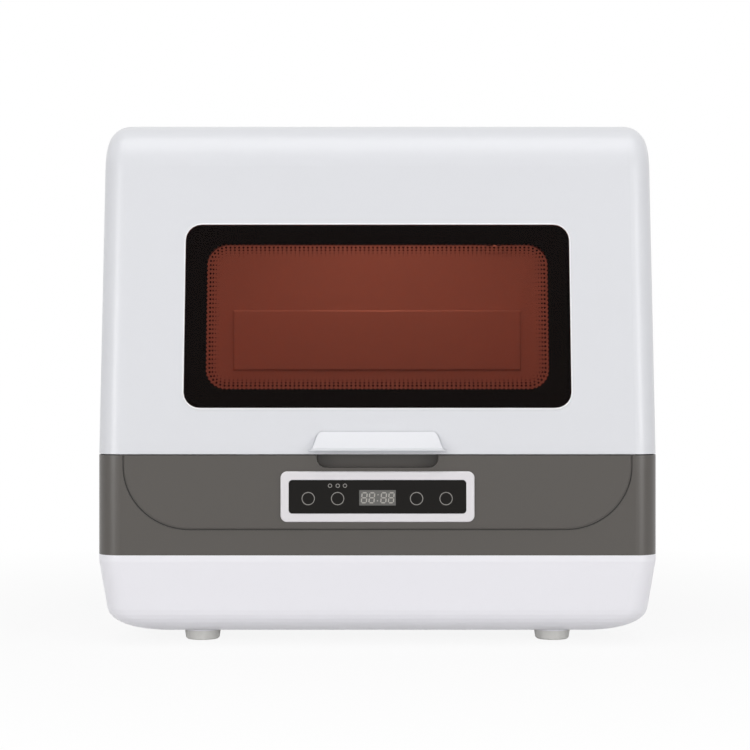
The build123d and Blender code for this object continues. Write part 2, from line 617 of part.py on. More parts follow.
def nose_form(extra):
    """The rolled rear edge, or the room round it: turned about the hinge axis, with bullet ends.

    Its ends follow the roof's round side edges, a circle centred inside the roof's corner."""
    straight = HALF - EDGE_R - NOSE_SHY
    reach = EDGE_R + extra
    low = NOSE_R - EDGE_R
    tip_angle = math.asin((NOSE_TIP_R - low) / reach)
    tip = straight + reach * math.cos(tip_angle)
    pull = reach * 4 / 3 * math.tan((math.pi / 2 - tip_angle) / 4)
    near_tip = (tip - pull * math.sin(tip_angle), NOSE_TIP_R + pull * math.cos(tip_angle))
    top = NOSE_R + extra
    right = Bezier((straight, top), (straight + pull, top), near_tip, (tip, NOSE_TIP_R))
    left = Bezier((-tip, NOSE_TIP_R), (-near_tip[0], near_tip[1]), (-straight - pull, top), (-straight, top))
    foot = Polyline((tip, NOSE_TIP_R), (tip, 0.0), (-tip, 0.0), (-tip, NOSE_TIP_R))
    outline = make_face([Line((-straight, top), (straight, top)), right, foot, left])
    return Pos(0, HINGE_Y, HINGE_Z) * revolve(outline, Axis.X)


def along_hinge(x, radius):
    """A round bar on the hinge axis."""
    return rod((x[0], HINGE_Y, HINGE_Z), (x[1], HINGE_Y, HINGE_Z), radius)


def make_lip_groove():
    """The narrow channel in the hood's front that runs round the pull lip."""
    low, high = LIP_LOW_Z - 1.0, LIP_HIGH_Z + 2 * GROOVE_W
    skin = prism_x([(front_y(low) + LIP_GROOVE_D, low), (front_y(high) + LIP_GROOVE_D, high),
                    (front_y(high) - 1.0, high), (front_y(low) - 1.0, low)], (-HALF, HALF))
    return skin & (lip_prism(-GROOVE_W, 20.0) - lip_prism(0.0, 20.0))


def make_hood_shell():
    rear = HINGE_Y - SIDE_GAP / 2
    shell = hood_form(0, HOOD_BOTTOM, rear) - hood_form(WALL, HOOD_BOTTOM - 1.0, rear + 1.0)
    shell += nose_form(0)
    shell -= along_hinge((-BARREL_X[0], BARREL_X[0]), NOSE_R - WALL)
    shell -= slope_plate(WINDOW_W + 2 * GAP, WINDOW_H + 2 * GAP, WINDOW_R + GAP, -3 * WALL, WALL)
    shell -= make_lip_groove()
    knuckle = (BARREL_X[0] - 0.7, ARM_X[0] - 1.5)
    room = block(knuckle, (HINGE_Y - BARREL_R - 2.5, HINGE_Y + 2 * NOSE_R),
                 (HINGE_Z - 2 * NOSE_R, TOP + 1.0))
    room += along_hinge((knuckle[1], ARM_X[1] + GAP), ARM_EYE_R + 0.7)
    room += along_hinge((ARM_X[1] + GAP, ARM_X[1] + GAP + PIN_HEAD_T + 1.0), PIN_HEAD_R + 0.8)
    room += block((knuckle[1], ARM_X[1] + GAP), (HINGE_Y - 2 * NOSE_R, HINGE_Y),
                  (HINGE_Z - 2 * NOSE_R, HINGE_Z + ARM_EYE_R - 1.0))
    shell -= both(room)
    for y, z in RIVETS:
        shell += both(rod((ARM_X[1], y, z), (HALF - 1.0, y, z), 5.0))
    for y, z in RIVETS:
        shell -= both(rod((ARM_X[1], y, z), (HALF - WALL, y, z), RIVET_R + RUN))
    return shell


def make_hood_liner():
    inner = LINER_INSET + LINER_T
    liner = hood_form(LINER_INSET, LINER_BOTTOM, LINER_REAR)
    liner -= hood_form(inner, LINER_BOTTOM - 1.0, LINER_REAR + 1.0)
    lip = hood_form(WALL + GAP, LINER_BOTTOM, LINER_REAR)
    lip &= block((-HALF, HALF), (BODY_FRONT, LINER_REAR), (LINER_BOTTOM, LINER_BOTTOM + LINER_T))
    lip -= block((-TUB_IN_X - 1.0, TUB_IN_X + 1.0), (TUB_IN_FRONT - 3.5, LINER_REAR),
                 (LINER_BOTTOM, LINER_BOTTOM + LINER_T))
    side = HALF - inner
    flange = block((-side - 0.5, side + 0.5), (LINER_REAR - LINER_T, LINER_REAR),
                   (LINER_BOTTOM, TOP - inner + 0.5))
    flange -= block((-side + LINER_FLANGE, side - LINER_FLANGE), (LINER_REAR - LINER_T, LINER_REAR),
                    (LINER_BOTTOM, TOP - inner - LINER_FLANGE))
    liner += lip + flange
    return liner - slope_plate(CLEAR_W + 2.0, CLEAR_H + 2.0, CLEAR_R + 1.0,
                               -LINER_INSET - 3.0, -LINER_INSET + 1.0)


def make_window_outer_glass():
    glass = slope_plate(WINDOW_W, WINDOW_H, WINDOW_R, WINDOW_PROUD - GLASS_T, WINDOW_PROUD)
    front = glass.faces().sort_by(Axis.Y)[0]
    return chamfer(front.edges(), 0.4)


def make_window_frame():
    high = WINDOW_PROUD - GLASS_T
    low = -LINER_INSET
    frame = slope_plate(WINDOW_W + 2 * FRAME_MARGIN, WINDOW_H + 2 * FRAME_MARGIN, WINDOW_R + FRAME_MARGIN,
                        low, high)
    frame -= slope_plate(CLEAR_W, CLEAR_H, CLEAR_R, low, high)
    margin = 2 * INNER_GLASS_MARGIN
    frame -= slope_plate(CLEAR_W + margin, CLEAR_H + margin, CLEAR_R + INNER_GLASS_MARGIN,
                         low, low + INNER_GLASS_T)
    return frame


def make_window_inner_glass():
    margin = 2 * (INNER_GLASS_MARGIN - HOOK)
    return slope_plate(CLEAR_W + margin, CLEAR_H + margin, CLEAR_R + INNER_GLASS_MARGIN - HOOK,
                       -LINER_INSET, -LINER_INSET + INNER_GLASS_T)


def lip_prism(inset, depth):
    """The pull lip's front outline, with S-shaped shoulders, carried along Y."""
    base = LIP_BASE_W / 2 - inset
    top = LIP_TOP_W / 2 - inset
    high = LIP_HIGH_Z - inset
    low = LIP_LOW_Z
    right = Bezier((top, high), (top + LIP_SHOULDER, high), (base - LIP_SHOULDER, low), (base, low))
    left = Bezier((-base, low), (-base + LIP_SHOULDER, low), (-top - LIP_SHOULDER, high), (-top, high))
    outline = make_face([Line((-top, high), (top, high)), right, Line((base, low), (-base, low)), left])
    facing = Plane(origin=(0, BODY_FRONT + 4.0, 0), x_dir=(1, 0, 0), z_dir=(0, -1, 0))
    return extrude(facing * outline, amount=depth)


def make_handle_grip():
    wedge = prism_x([(front_y(LIP_HIGH_Z), LIP_HIGH_Z), (FRONT_REACH, LIP_LOW_Z + LIP_EDGE + 0.5),
                     (FRONT_REACH, LIP_LOW_Z), (front_y(LIP_LOW_Z), LIP_LOW_Z)], (-HALF, HALF))
    nose = wedge.edges().filter_by(Axis.X).sort_by(Axis.Y)[0:2].sort_by(Axis.Z)[-1]
    wedge = fillet(nose, 1.8)
    grip = wedge & lip_prism(0.0, 20.0)
    front, rear = FRONT_REACH + LIP_WALL, front_y(LIP_LOW_Z) - 1.2
    hollow = prism_x([(rear, LIP_LOW_Z + 10.5), (front, LIP_LOW_Z + LIP_EDGE), (front, LIP_LOW_Z),
                      (rear, LIP_LOW_Z)], (-HALF, HALF))
    return grip - (hollow & lip_prism(2 * LIP_WALL, 20.0))


def make_latch_strikers():
    tongue = block((LATCH_X - TONGUE_W / 2, LATCH_X + TONGUE_W / 2), TONGUE_Y, (TONGUE_BOTTOM, LINER_BOTTOM))
    tip = tongue.edges().filter_by(Axis.Y).group_by(Axis.Z)[0]
    tongue = fillet(tip, 4.0)
    foot = block((LATCH_X - 12.0, LATCH_X + 12.0), (TONGUE_Y[0] - 5.0, TONGUE_Y[1] + 0.4),
                 (LINER_BOTTOM - LINER_T, LINER_BOTTOM))
    return both(tongue + foot)


def make_hinge_arms():
    front, low = HINGE_Y - ARM_RUN, HINGE_Z - ARM_DROP
    strip = prism_x([(HINGE_Y, HINGE_Z + 6.0), (front + 15.0, HINGE_Z + 6.0), (front, HINGE_Z - 9.0),
                     (front, low), (front + 16.0, low), (front + 21.0, low + 35.0),
                     (front + 33.0, HINGE_Z - 7.5), (HINGE_Y, HINGE_Z - 7.5)], ARM_X)
    arm = strip + along_hinge(ARM_X, ARM_EYE_R)
    arm -= along_hinge(ARM_X, BUSH_R + HOOK / 2)
    for y, z in RIVETS:
        arm -= rod((ARM_X[0], y, z), (ARM_X[1], y, z), RIVET_R + RUN)
    return both(arm)


def make_hinge_bushes():
    flange_x = (BARREL_X[1] + GAP, ARM_X[0])
    bush = along_hinge(flange_x, BUSH_FLANGE_R) + along_hinge(ARM_X, BUSH_R)
    bush -= along_hinge((BARREL_X[1], ARM_X[1]), PIN_R + RUN)
    return both(bush)


def make_arm_rivets():
    rivets = None
    for y, z in RIVETS:
        rivet = rod((ARM_X[0] - 0.8, y, z), (ARM_X[0], y, z), 2 * RIVET_R)
        rivet += rod((ARM_X[0], y, z), (HALF - WALL - 0.5, y, z), RIVET_R)
        rivets = rivet if rivets is None else rivets + rivet
    return both(rivets)


# ---------------------------------------------------------------- wash chamber
def make_inner_tub():
    width = 2 * TUB_HALF
    depth = TUB_IN_REAR - TUB_IN_FRONT
    outside = RectangleRounded(width, depth + 2 * TUB_WALL, TUB_R + TUB_WALL)
    outer = extrude(Pos(0, TUB_MID_Y, TUB_UNDER) * outside, amount=RIM_TOP - TUB_UNDER)
    outer = fillet(outer.faces().sort_by(Axis.Z)[0].edges(), TUB_FLOOR_R + TUB_WALL)
    inner = extrude(Pos(0, TUB_MID_Y, TUB_FLOOR) * RectangleRounded(2 * TUB_IN_X, depth, TUB_R),
                    amount=RIM_TOP - TUB_FLOOR + 5.0)
    inner = fillet(inner.faces().sort_by(Axis.Z)[0].edges(), TUB_FLOOR_R)
    reach = TUB_HALF + TUB_FLANGE
    front = TUB_IN_FRONT - TUB_WALL - TUB_FLANGE
    flange_mid = (front + TUB_REAR) / 2
    flange = extrude(Pos(0, flange_mid, DECK_TOP) * RectangleRounded(2 * reach, TUB_REAR - front, EDGE_R / 3),
                     amount=TUB_WALL)
    tub = outer + flange - inner
    tub -= rod((*SPRAY_AXIS, TUB_UNDER), (*SPRAY_AXIS, TUB_FLOOR), SUMP_R)
    for x, y in heater_legs():
        tub -= rod((x, y, TUB_UNDER), (x, y, TUB_FLOOR), HEATER_TUBE_R + HOOK)
    tub -= rod((INLET_X, TUB_IN_REAR, SPIGOT_Z), (INLET_X, TUB_REAR, SPIGOT_Z), 5.0)
    return tub


def make_rim_seal():
    reach = TUB_HALF + TUB_FLANGE - 0.5
    front = TUB_IN_FRONT - TUB_WALL - TUB_FLANGE + 0.5
    ring = block((-reach, reach), (front, TUB_IN_REAR), (RIM_TOP, SEAL_TOP))
    ring = fillet(ring.edges().filter_by(Axis.Z).group_by(Axis.Y)[0], EDGE_R / 3 - 0.5)
    ring -= block((-reach + SEAL_W, reach - SEAL_W), (front + SEAL_W, TUB_IN_REAR), (RIM_TOP, SEAL_TOP))
    groove = block((-reach + SEAL_W / 3, reach - SEAL_W / 3), (front + SEAL_W / 3, TUB_IN_REAR),
                   (SEAL_TOP - SEAL_H / 2, SEAL_TOP))
    groove -= block((-reach + 2 * SEAL_W / 3, reach - 2 * SEAL_W / 3), (front + 2 * SEAL_W / 3, TUB_IN_REAR),
                    (SEAL_TOP - SEAL_H / 2, SEAL_TOP))
    return ring - groove


def make_back_panel():
    face_y = (TUB_IN_REAR, TUB_IN_REAR + PANEL_T)
    panel = block((-PANEL_HALF, PANEL_HALF), face_y, (RIM_TOP, PANEL_TOP))
    lap = block((TUB_R - TUB_IN_X, TUB_IN_X - TUB_R), (face_y[1], face_y[1] + 1.5),
                (RIM_TOP - 8.0, RIM_TOP + 10.0))
    returns = block((-PANEL_HALF, PANEL_HALF), (face_y[1], REAR_WALL_Y), (RIM_TOP, PANEL_RETURN_TOP))
    returns -= block((-PANEL_HALF + PANEL_T, PANEL_HALF - PANEL_T), (face_y[1], REAR_WALL_Y),
                     (RIM_TOP, PANEL_RETURN_TOP - PANEL_T))
    field = block((-FIELD_HALF, FIELD_HALF), (face_y[0] - FIELD_PROUD, face_y[0]), (FIELD_LOW, FIELD_HIGH))
    field = chamfer(field.faces().sort_by(Axis.Y)[0].edges(), FIELD_PROUD * 0.75)
    rib_y = (face_y[0] - FIELD_PROUD / 2, face_y[0])
    ribs = [block((x - 2.0, x + 2.0), rib_y, (RIB_TOP - RIB_H, RIB_TOP))
            for x in (-FIELD_HALF - 22.0, FIELD_HALF + 22.0)]
    panel += lap + returns + field + Compound(children=ribs)
    panel -= rod((FAN_X, face_y[0], FAN_Z), (FAN_X, REAR_WALL_Y, FAN_Z), FAN_BORE_R - DUCT_WALL - 0.5)
    return panel - block((-LAMP_W / 2, LAMP_W / 2), face_y, (LAMP_Z - LAMP_H / 2, LAMP_Z + LAMP_H / 2))


def make_back_seal():
    inner_x = BACK_SEAL_X - SEAL_W
    top = PANEL_TOP - 1.0
    y = (LINER_REAR + GAP, TUB_IN_REAR)
    seal = block((-BACK_SEAL_X, BACK_SEAL_X), y, (SEAL_TOP, top))
    return seal - block((-inner_x, inner_x), y, (SEAL_TOP, top - SEAL_W))


def make_lamp_lens():
    half_w, half_h = LAMP_W / 2 - HOOK, LAMP_H / 2 - HOOK
    lens = block((-half_w, half_w), (TUB_IN_REAR - 1.5, TUB_IN_REAR + PANEL_T),
                 (LAMP_Z - half_h, LAMP_Z + half_h))
    return fillet(lens.faces().sort_by(Axis.Y)[0].edges(), 1.0)


def make_lamp_board():
    y = TUB_IN_REAR + PANEL_T
    half_w, half_h = LAMP_W / 2 + 4.0, LAMP_H / 2 + 2.0
    board = block((-half_w, half_w), (y, y + BOARD_T), (LAMP_Z - half_h, LAMP_Z + half_h))
    diodes = [block((x - 1.5, x + 1.5), (y + BOARD_T, y + BOARD_T + 1.0), (LAMP_Z - 1.5, LAMP_Z + 1.5))
              for x in (-LAMP_W / 3, 0.0, LAMP_W / 3)]
    return board + Compound(children=diodes)


# ---------------------------------------------------------------- sump, filter, spray arm, heater
def along_x(x, z, radius):
    """A round bar along X in the spray axis's plane."""
    return rod((x[0], TUB_MID_Y, z), (x[1], TUB_MID_Y, z), radius)


def make_sump_bowl():
    ledge_r = SUMP_R - SUMP_LEDGE
    bowl = turned([(0, SUMP_BOTTOM), (SUMP_R - 9.0, SUMP_BOTTOM), (SUMP_R, SUMP_BOTTOM + 9.0),
                   (SUMP_R, TUB_UNDER - 2.0), (SUMP_FLANGE_R, TUB_UNDER - 2.0), (SUMP_FLANGE_R, TUB_UNDER),
                   (SUMP_R, TUB_UNDER), (SUMP_R, TUB_UNDER - 1.0), (ledge_r, TUB_UNDER - 1.0),
                   (ledge_r, SUMP_BOTTOM + 11.0), (ledge_r - 8.0, SUMP_BOTTOM + SUMP_WALL),
                   (0, SUMP_BOTTOM + SUMP_WALL)], *SPRAY_AXIS)
    side = SUMP_R - 1.0
    bowl += along_x((WASH_PORT_X, -side), SUMP_PORT_Z, 9.0)
    bowl += along_x((side, DRAIN_PORT_X), SUMP_PORT_Z, 8.0)
    bowl -= along_x((WASH_PORT_X, 8.0 - side), SUMP_PORT_Z, 6.5)
    bowl -= along_x((side - 8.0, DRAIN_PORT_X), SUMP_PORT_Z, 5.5)
    return bowl - rod((*SPRAY_AXIS, SUMP_BOTTOM), (*SPRAY_AXIS, SUMP_BOTTOM + SUMP_WALL), RISER_R + RUN)


def make_filter_plate():
    low = TUB_UNDER - 1.0
    plate = rod((*SPRAY_AXIS, low), (*SPRAY_AXIS, low + FILTER_PLATE_T), SUMP_R - GAP)
    plate -= rod((*SPRAY_AXIS, low), (*SPRAY_AXIS, low + FILTER_PLATE_T), RISER_R + GAP)
    plate -= rod((FILTER_X, TUB_MID_Y, low), (FILTER_X, TUB_MID_Y, low + FILTER_PLATE_T), FILTER_R + GAP)
    slot = block((20.0, SUMP_R - 11.0), (-1.5, 1.5), (low, low + FILTER_PLATE_T))
    slots = [Pos(0, TUB_MID_Y, 0) * Rot(0, 0, angle) * slot for angle in range(66, 306, 12)]
    return plate - Compound(children=slots)


def make_riser_pipe():
    shoulder_z = ARM_BOTTOM - 0.4
    low = DUCT_Z - 8.0
    top = ARM_TOP - 0.5
    pipe_form = turned([(RISER_BORE_R, low + 4.0), (0, low + 4.0), (0, low), (RISER_R, low),
                        (RISER_R, shoulder_z - 6.0), (RISER_SHOULDER_R, shoulder_z - 4.0),
                        (RISER_SHOULDER_R, shoulder_z), (JOURNAL_R, shoulder_z), (JOURNAL_R, top),
                        (RISER_BORE_R, top)], *SPRAY_AXIS)
    return pipe_form - along_x((-RISER_R, 1.0 - RISER_BORE_R), DUCT_Z, 3.5)


def make_spray_arm():
    mid_z = (ARM_BOTTOM + ARM_TOP) / 2
    hub = turned([(0, ARM_BOTTOM), (ARM_HUB_R - 2.0, ARM_BOTTOM), (ARM_HUB_R, ARM_BOTTOM + 2.0),
                  (ARM_HUB_R, ARM_TOP - 2.0), (ARM_HUB_R - 2.0, ARM_TOP), (0, ARM_TOP)])
    sections = []
    for x, width, height in ((8.0, 30.0, 11.0), (80.0, 24.0, 9.0), (ARM_LENGTH, 12.0, 5.0)):
        face = Plane(origin=(x, 0, mid_z - (11.0 - height) / 2), x_dir=(0, 1, 0), z_dir=(1, 0, 0))
        sections.append(face * RectangleRounded(width, height, height * 0.42))
    wing = loft(sections)
    tip = wing.faces().sort_by(Axis.X)[-1]
    wing = fillet(tip.edges(), 1.5)
    nozzle = None
    for x, side in ((38.0, 4.0), (66.0, -3.0), (94.0, 3.0), (120.0, -2.0)):
        top = mid_z + 4.0 - (x - 8.0) * 0.031
        pad = block((x - 5.0, x + 5.0), (side - 2.0, side + 2.0), (mid_z, top + 2.0))
        pad -= block((x - 3.5, x + 3.5), (side - 0.7, side + 0.7), (top, top + 2.0))
        nozzle = pad if nozzle is None else nozzle + pad
    wing = wing + nozzle
    arm = hub + wing + Rot(0, 0, 180) * wing
    arm -= rod((0, 0, ARM_BOTTOM), (0, 0, ARM_TOP), JOURNAL_R + RUN)
    return Pos(0, TUB_MID_Y, 0) * arm


def make_spray_arm_cap():
    cap = turned([(0, ARM_TOP), (ARM_HUB_R - 3.0, ARM_TOP), (ARM_HUB_R - 4.0, ARM_TOP + ARM_CAP_T - 1.5),
                  (ARM_HUB_R - 7.0, ARM_TOP + ARM_CAP_T), (0, ARM_TOP + ARM_CAP_T)])
    for angle in range(0, 360, 60):
        notch = rod((ARM_HUB_R - 2.0, 0, ARM_TOP), (ARM_HUB_R - 2.0, 0, ARM_TOP + ARM_CAP_T), 2.2)
        cap -= Rot(0, 0, angle) * notch
    return Pos(0, TUB_MID_Y, 0) * cap


def make_micro_filter():
    seat = TUB_UNDER - 1.0 + FILTER_PLATE_T + 0.2
    bore = FILTER_R - FILTER_WALL
    cup = turned([(0, FILTER_BOTTOM), (FILTER_R, FILTER_BOTTOM), (FILTER_R, seat), (FILTER_R + 2.0, seat),
                  (FILTER_R + 2.0, seat + 1.8), (0, seat + 1.8), (0, seat - 0.5), (bore, seat - 0.5),
                  (bore, FILTER_BOTTOM + 2.0), (0, FILTER_BOTTOM + 2.0)])
    for step in range(8):
        window = block((bore - 2.0, FILTER_R + 1.0), (-7.0, 7.0), (FILTER_BOTTOM + 4.0, seat - 4.0))
        cup -= Rot(0, 0, 45 * step + 22.5) * window
    bar = block((7.0 - FILTER_R, FILTER_R - 7.0), (-3.0, 3.0), (seat + 1.8, ARM_BOTTOM - 3.5))
    bar = fillet(bar.edges().filter_by(Axis.Y).group_by(Axis.Z)[-1], 4.0)
    return Pos(FILTER_X, TUB_MID_Y, 0) * (cup + bar)


def heater_legs():
    """The two points behind the sump where the heater's ends go down through the floor."""
    places = []
    for angle in (82.0, 98.0):
        turn = math.radians(angle)
        places.append((HEATER_R * math.cos(turn), TUB_MID_Y + HEATER_R * math.sin(turn)))
    return places


def make_heater_ring():
    path = Pos(0, TUB_MID_Y, HEATER_Z) * CenterArc((0, 0, 0), HEATER_R, 98.0, 344.0)
    start = Plane(origin=path @ 0, z_dir=path % 0)
    ring = sweep(start * RegularPolygon(HEATER_TUBE_R, 8), path=path)
    for x, y in heater_legs():
        ring += Pos(x, y, HEATER_Z) * Sphere(HEATER_TUBE_R)
        ring += rod((x, y, TUB_UNDER - 8.0), (x, y, HEATER_Z), HEATER_TUBE_R)
    for angle in (0, 180, 270):
        turn = math.radians(angle)
        x, y = HEATER_R * math.cos(turn), TUB_MID_Y + HEATER_R * math.sin(turn)
        ring += block((x - 3.0, x + 3.0), (y - 3.0, y + 3.0), (TUB_FLOOR, HEATER_Z - 1.0))
    return ring


# ---------------------------------------------------------------- pumps and water path
def make_wash_pump():
    axis_z = SUMP_PORT_Z - 2.0
    pump = along_x((WASH_PORT_X - 12.0, WASH_PORT_X), SUMP_PORT_Z, 9.0)
    volute_x = WASH_PORT_X - 28.0
    pump += along_x((volute_x, WASH_PORT_X - 10.0), axis_z, 27.0)
    motor_x = volute_x - 4.0
    pump += along_x((motor_x, volute_x), axis_z, 20.0)
    pump += along_x((motor_x - WASH_MOTOR_L, motor_x), axis_z, 24.0)
    pump += along_x((motor_x - WASH_MOTOR_L - 6.0, motor_x - WASH_MOTOR_L), axis_z, 10.0)
    base_z = FOOT_H + WALL
    for x in (motor_x - 12.0, motor_x - WASH_MOTOR_L + 8.0):
        pump += block((x - 4.0, x + 4.0), (TUB_MID_Y - 20.0, TUB_MID_Y + 20.0), (base_z, axis_z - 10.0))
    return pump


def make_wash_duct():
    start = WASH_PORT_X - 10.0
    duct = pipe((start, TUB_MID_Y, DUCT_Z), (-RISER_R, TUB_MID_Y, DUCT_Z), 6.0, 4.0)
    for x in (start + 3.0, -RISER_R - 9.0):
        duct += pipe((x, TUB_MID_Y, DUCT_Z), (x + 5.0, TUB_MID_Y, DUCT_Z), 7.2, 5.0)
    return duct


def make_drain_pump():
    axis_z = SUMP_PORT_Z - 4.0
    volute_x = DRAIN_PORT_X + 19.0
    motor_end = volute_x + DRAIN_MOTOR_L
    pump = along_x((DRAIN_PORT_X, DRAIN_PORT_X + 6.0), SUMP_PORT_Z, 8.0)
    pump += along_x((DRAIN_PORT_X + 3.0, volute_x), axis_z, 20.0)
    pump += along_x((volute_x, motor_end), axis_z, 16.0)
    pump += rod((OUTLET_X, TUB_MID_Y, axis_z), (OUTLET_X, TUB_MID_Y + DRAIN_SPOUT, axis_z), HOSE_R)
    foot_y = (TUB_MID_Y - 12.0, TUB_MID_Y + 12.0)
    return pump + block((volute_x + 9.0, motor_end - 8.0), foot_y, (FOOT_H + WALL, axis_z - 8.0))


def make_drain_hose():
    low, rise_y = SUMP_PORT_Z - 4.0, COLUMN_IN_FRONT + 13.0
    route = FilletPolyline((OUTLET_X, TUB_MID_Y + DRAIN_SPOUT, low), (OUTLET_X, rise_y, low),
                           (OUTLET_X, rise_y, SPIGOT_Z), (OUTLET_X, COLUMN_IN_REAR - OUTLET_STUB, SPIGOT_Z),
                           radius=HOSE_BEND_R)
    start = Plane(origin=route @ 0, z_dir=route % 0)
    return sweep(start * (Circle(HOSE_R) - Circle(HOSE_BORE_R)), path=route)


def along_y(x, y, radius):
    """A round bar along Y at the height of the rear spigots."""
    return rod((x, y[0], SPIGOT_Z), (x, y[1], SPIGOT_Z), radius)


def make_drain_outlet():
    inner = COLUMN_IN_REAR - OUTLET_STUB
    cone_y = REAR_REACH - OUTLET_NOSE
    spout = along_y(OUTLET_X, (inner, cone_y), OUTLET_R)
    spout += along_y(OUTLET_X, (COLUMN_IN_REAR - 3.0, COLUMN_IN_REAR), OUTLET_R + SPIGOT_FLANGE)
    spout += along_y(OUTLET_X, (COLUMN_IN_REAR, BODY_REAR), OUTLET_R + SPIGOT_COLLAR)
    seat = Plane(origin=(OUTLET_X, cone_y, SPIGOT_Z), z_dir=(0, 1, 0))
    spout += seat * Cone(OUTLET_R, OUTLET_R - 1.5, OUTLET_NOSE, align=(Align.CENTER, Align.CENTER, Align.MIN))
    return spout - along_y(OUTLET_X, (inner, REAR_REACH), OUTLET_R - 3.0)


def make_inlet_valve():
    half, coil_z = VALVE_SIZE / 2, SPIGOT_Z + VALVE_SIZE / 2 - 3.0
    coil_y = VALVE_FRONT + 14.0
    valve = block((INLET_X - half, INLET_X + half), (VALVE_FRONT, COLUMN_IN_REAR - 0.5),
                  (SPIGOT_Z - half + 2.0, SPIGOT_Z + half - 2.0))
    valve = fillet(valve.edges().filter_by(Axis.Y), 3.0)
    valve += along_y(INLET_X, (COLUMN_IN_REAR - 0.5, BODY_REAR), INLET_R + SPIGOT_COLLAR)
    valve += along_y(INLET_X, (BODY_REAR, REAR_REACH), INLET_R)
    valve += rod((INLET_X, coil_y, coil_z), (INLET_X, coil_y, coil_z + 27.0), 13.0)
    valve += block((INLET_X - 5.0, INLET_X + 5.0), (coil_y - 5.0, coil_y + 5.0),
                   (coil_z + 27.0, coil_z + 33.0))
    valve -= along_y(INLET_X, (REAR_REACH - 10.0, REAR_REACH), INLET_R - 3.0)
    return valve - along_y(INLET_X, (VALVE_FRONT, VALVE_FRONT + 8.0), INLET_TUBE_R - 2.0)


def make_inlet_tube():
    return pipe((INLET_X, TUB_REAR, SPIGOT_Z), (INLET_X, VALVE_FRONT, SPIGOT_Z), INLET_TUBE_R,
                INLET_TUBE_R - 2.0)


def make_cord_gland():
    reach = (COLUMN_IN_REAR - 4.0, BODY_REAR + GLAND_REACH)
    gland = along_y(GLAND_X, (COLUMN_IN_REAR, reach[1]), GLAND_R)
    gland += along_y(GLAND_X, (reach[0], COLUMN_IN_REAR), GLAND_R + 4.0)
    gland += along_y(GLAND_X, (BODY_REAR, BODY_REAR + 2.5), GLAND_R + 3.0)
    return gland - along_y(GLAND_X, reach, GLAND_BORE_R)


# ---------------------------------------------------------------- rear column
def column_form(inset):
    """The rear column's outer form or the space inside it."""
    front = REAR_WALL_Y + inset
    form = block((inset - HALF, HALF - inset), (front, BODY_REAR - inset), (BASE_TOP, TOP - inset))
    uprights = form.edges().filter_by(Axis.Z).group_by(Axis.Y)[-1]
    top = form.faces().sort_by(Axis.Z)[-1]
    crown = [edge for edge in top.edges() if edge.center().Y > front + 1.0]
    return fillet(list(uprights) + crown, EDGE_R - inset)


def trough(extra):
    """The room that the hood's nose and roof need while the hood turns."""
    turn = math.radians(HINGE_OPEN_DEG)
    radius = NOSE_R + extra
    touch = (HINGE_Y + radius * math.sin(turn), HINGE_Z + radius * math.cos(turn))
    climb = (TOP + 2.0 - touch[1]) / math.sin(turn)
    edge = (touch[0] - climb * math.cos(turn), TOP + 2.0)
    wedge = prism_x([(HINGE_Y, HINGE_Z), touch, edge, (HINGE_Y, TOP + 2.0)], (-HALF - 1.0, HALF + 1.0))
    return nose_form(extra) + wedge


def cover_screw_places():
    x = COVER_W / 2 - COVER_LEDGE
    return [(side * x, z) for side in (-1, 1) for z in (COVER_LOW + 12.0, COVER_MID_Z, COVER_HIGH - 12.0)]


def make_rear_housing():
    clear = NOSE_R + TROUGH_CLEAR
    shell = column_form(0) - trough(TROUGH_CLEAR) - (column_form(WALL) - trough(TROUGH_CLEAR + WALL))
    height = COVER_HIGH - COVER_LOW
    shell -= front_plate(COVER_W + 2 * HOOK, height + 2 * HOOK, COVER_R, COVER_MID_Z,
                         (COVER_FRONT, BODY_REAR))
    shell -= front_plate(COVER_W - 4 * COVER_LEDGE, height - 2 * COVER_LEDGE, 4.0, COVER_MID_Z,
                         (COLUMN_IN_REAR, BODY_REAR))
    for x, z in cover_screw_places():
        shell += rod((x, COVER_FRONT - 10.0, z), (x, COVER_FRONT, z), 4.0)
    for x, z in cover_screw_places():
        shell -= rod((x, COVER_FRONT - 9.0, z), (x, COVER_FRONT, z), SCREW_R + RUN)
    rear = (COLUMN_IN_REAR, BODY_REAR)
    shell -= along_y(INLET_X, rear, INLET_R + SPIGOT_COLLAR + HOOK)
    shell -= along_y(OUTLET_X, rear, OUTLET_R + SPIGOT_COLLAR + HOOK)
    shell -= along_y(GLAND_X, rear, GLAND_R + HOOK)
    front = (REAR_WALL_Y, COLUMN_IN_FRONT)
    shell -= along_y(INLET_X, front, INLET_TUBE_R + HOOK)
    shell -= rod((FAN_X, front[0], FAN_Z), (FAN_X, front[1], FAN_Z), FAN_BORE_R + HOOK)
    slot = block((BARREL_X[0] + 0.7, BARREL_X[1] - 0.7), (REAR_WALL_Y - 1.0, HINGE_Y + clear + WALL + 2.0),
                 (HINGE_Z - clear - WALL - 4.0, HINGE_Z + 3.0))
    shell -= both(slot)
    for x, z in bracket_screw_places():
        shell -= both(rod((x, front[0], z), (x, front[1], z), SCREW_R + RUN))
    return shell


def bracket_screw_places():
    x = (BARREL_X[0] + BARREL_X[1]) / 2
    return [(x, HINGE_Z - FOOT_DROP + 8.0), (x, HINGE_Z - FOOT_DROP + 28.0)]


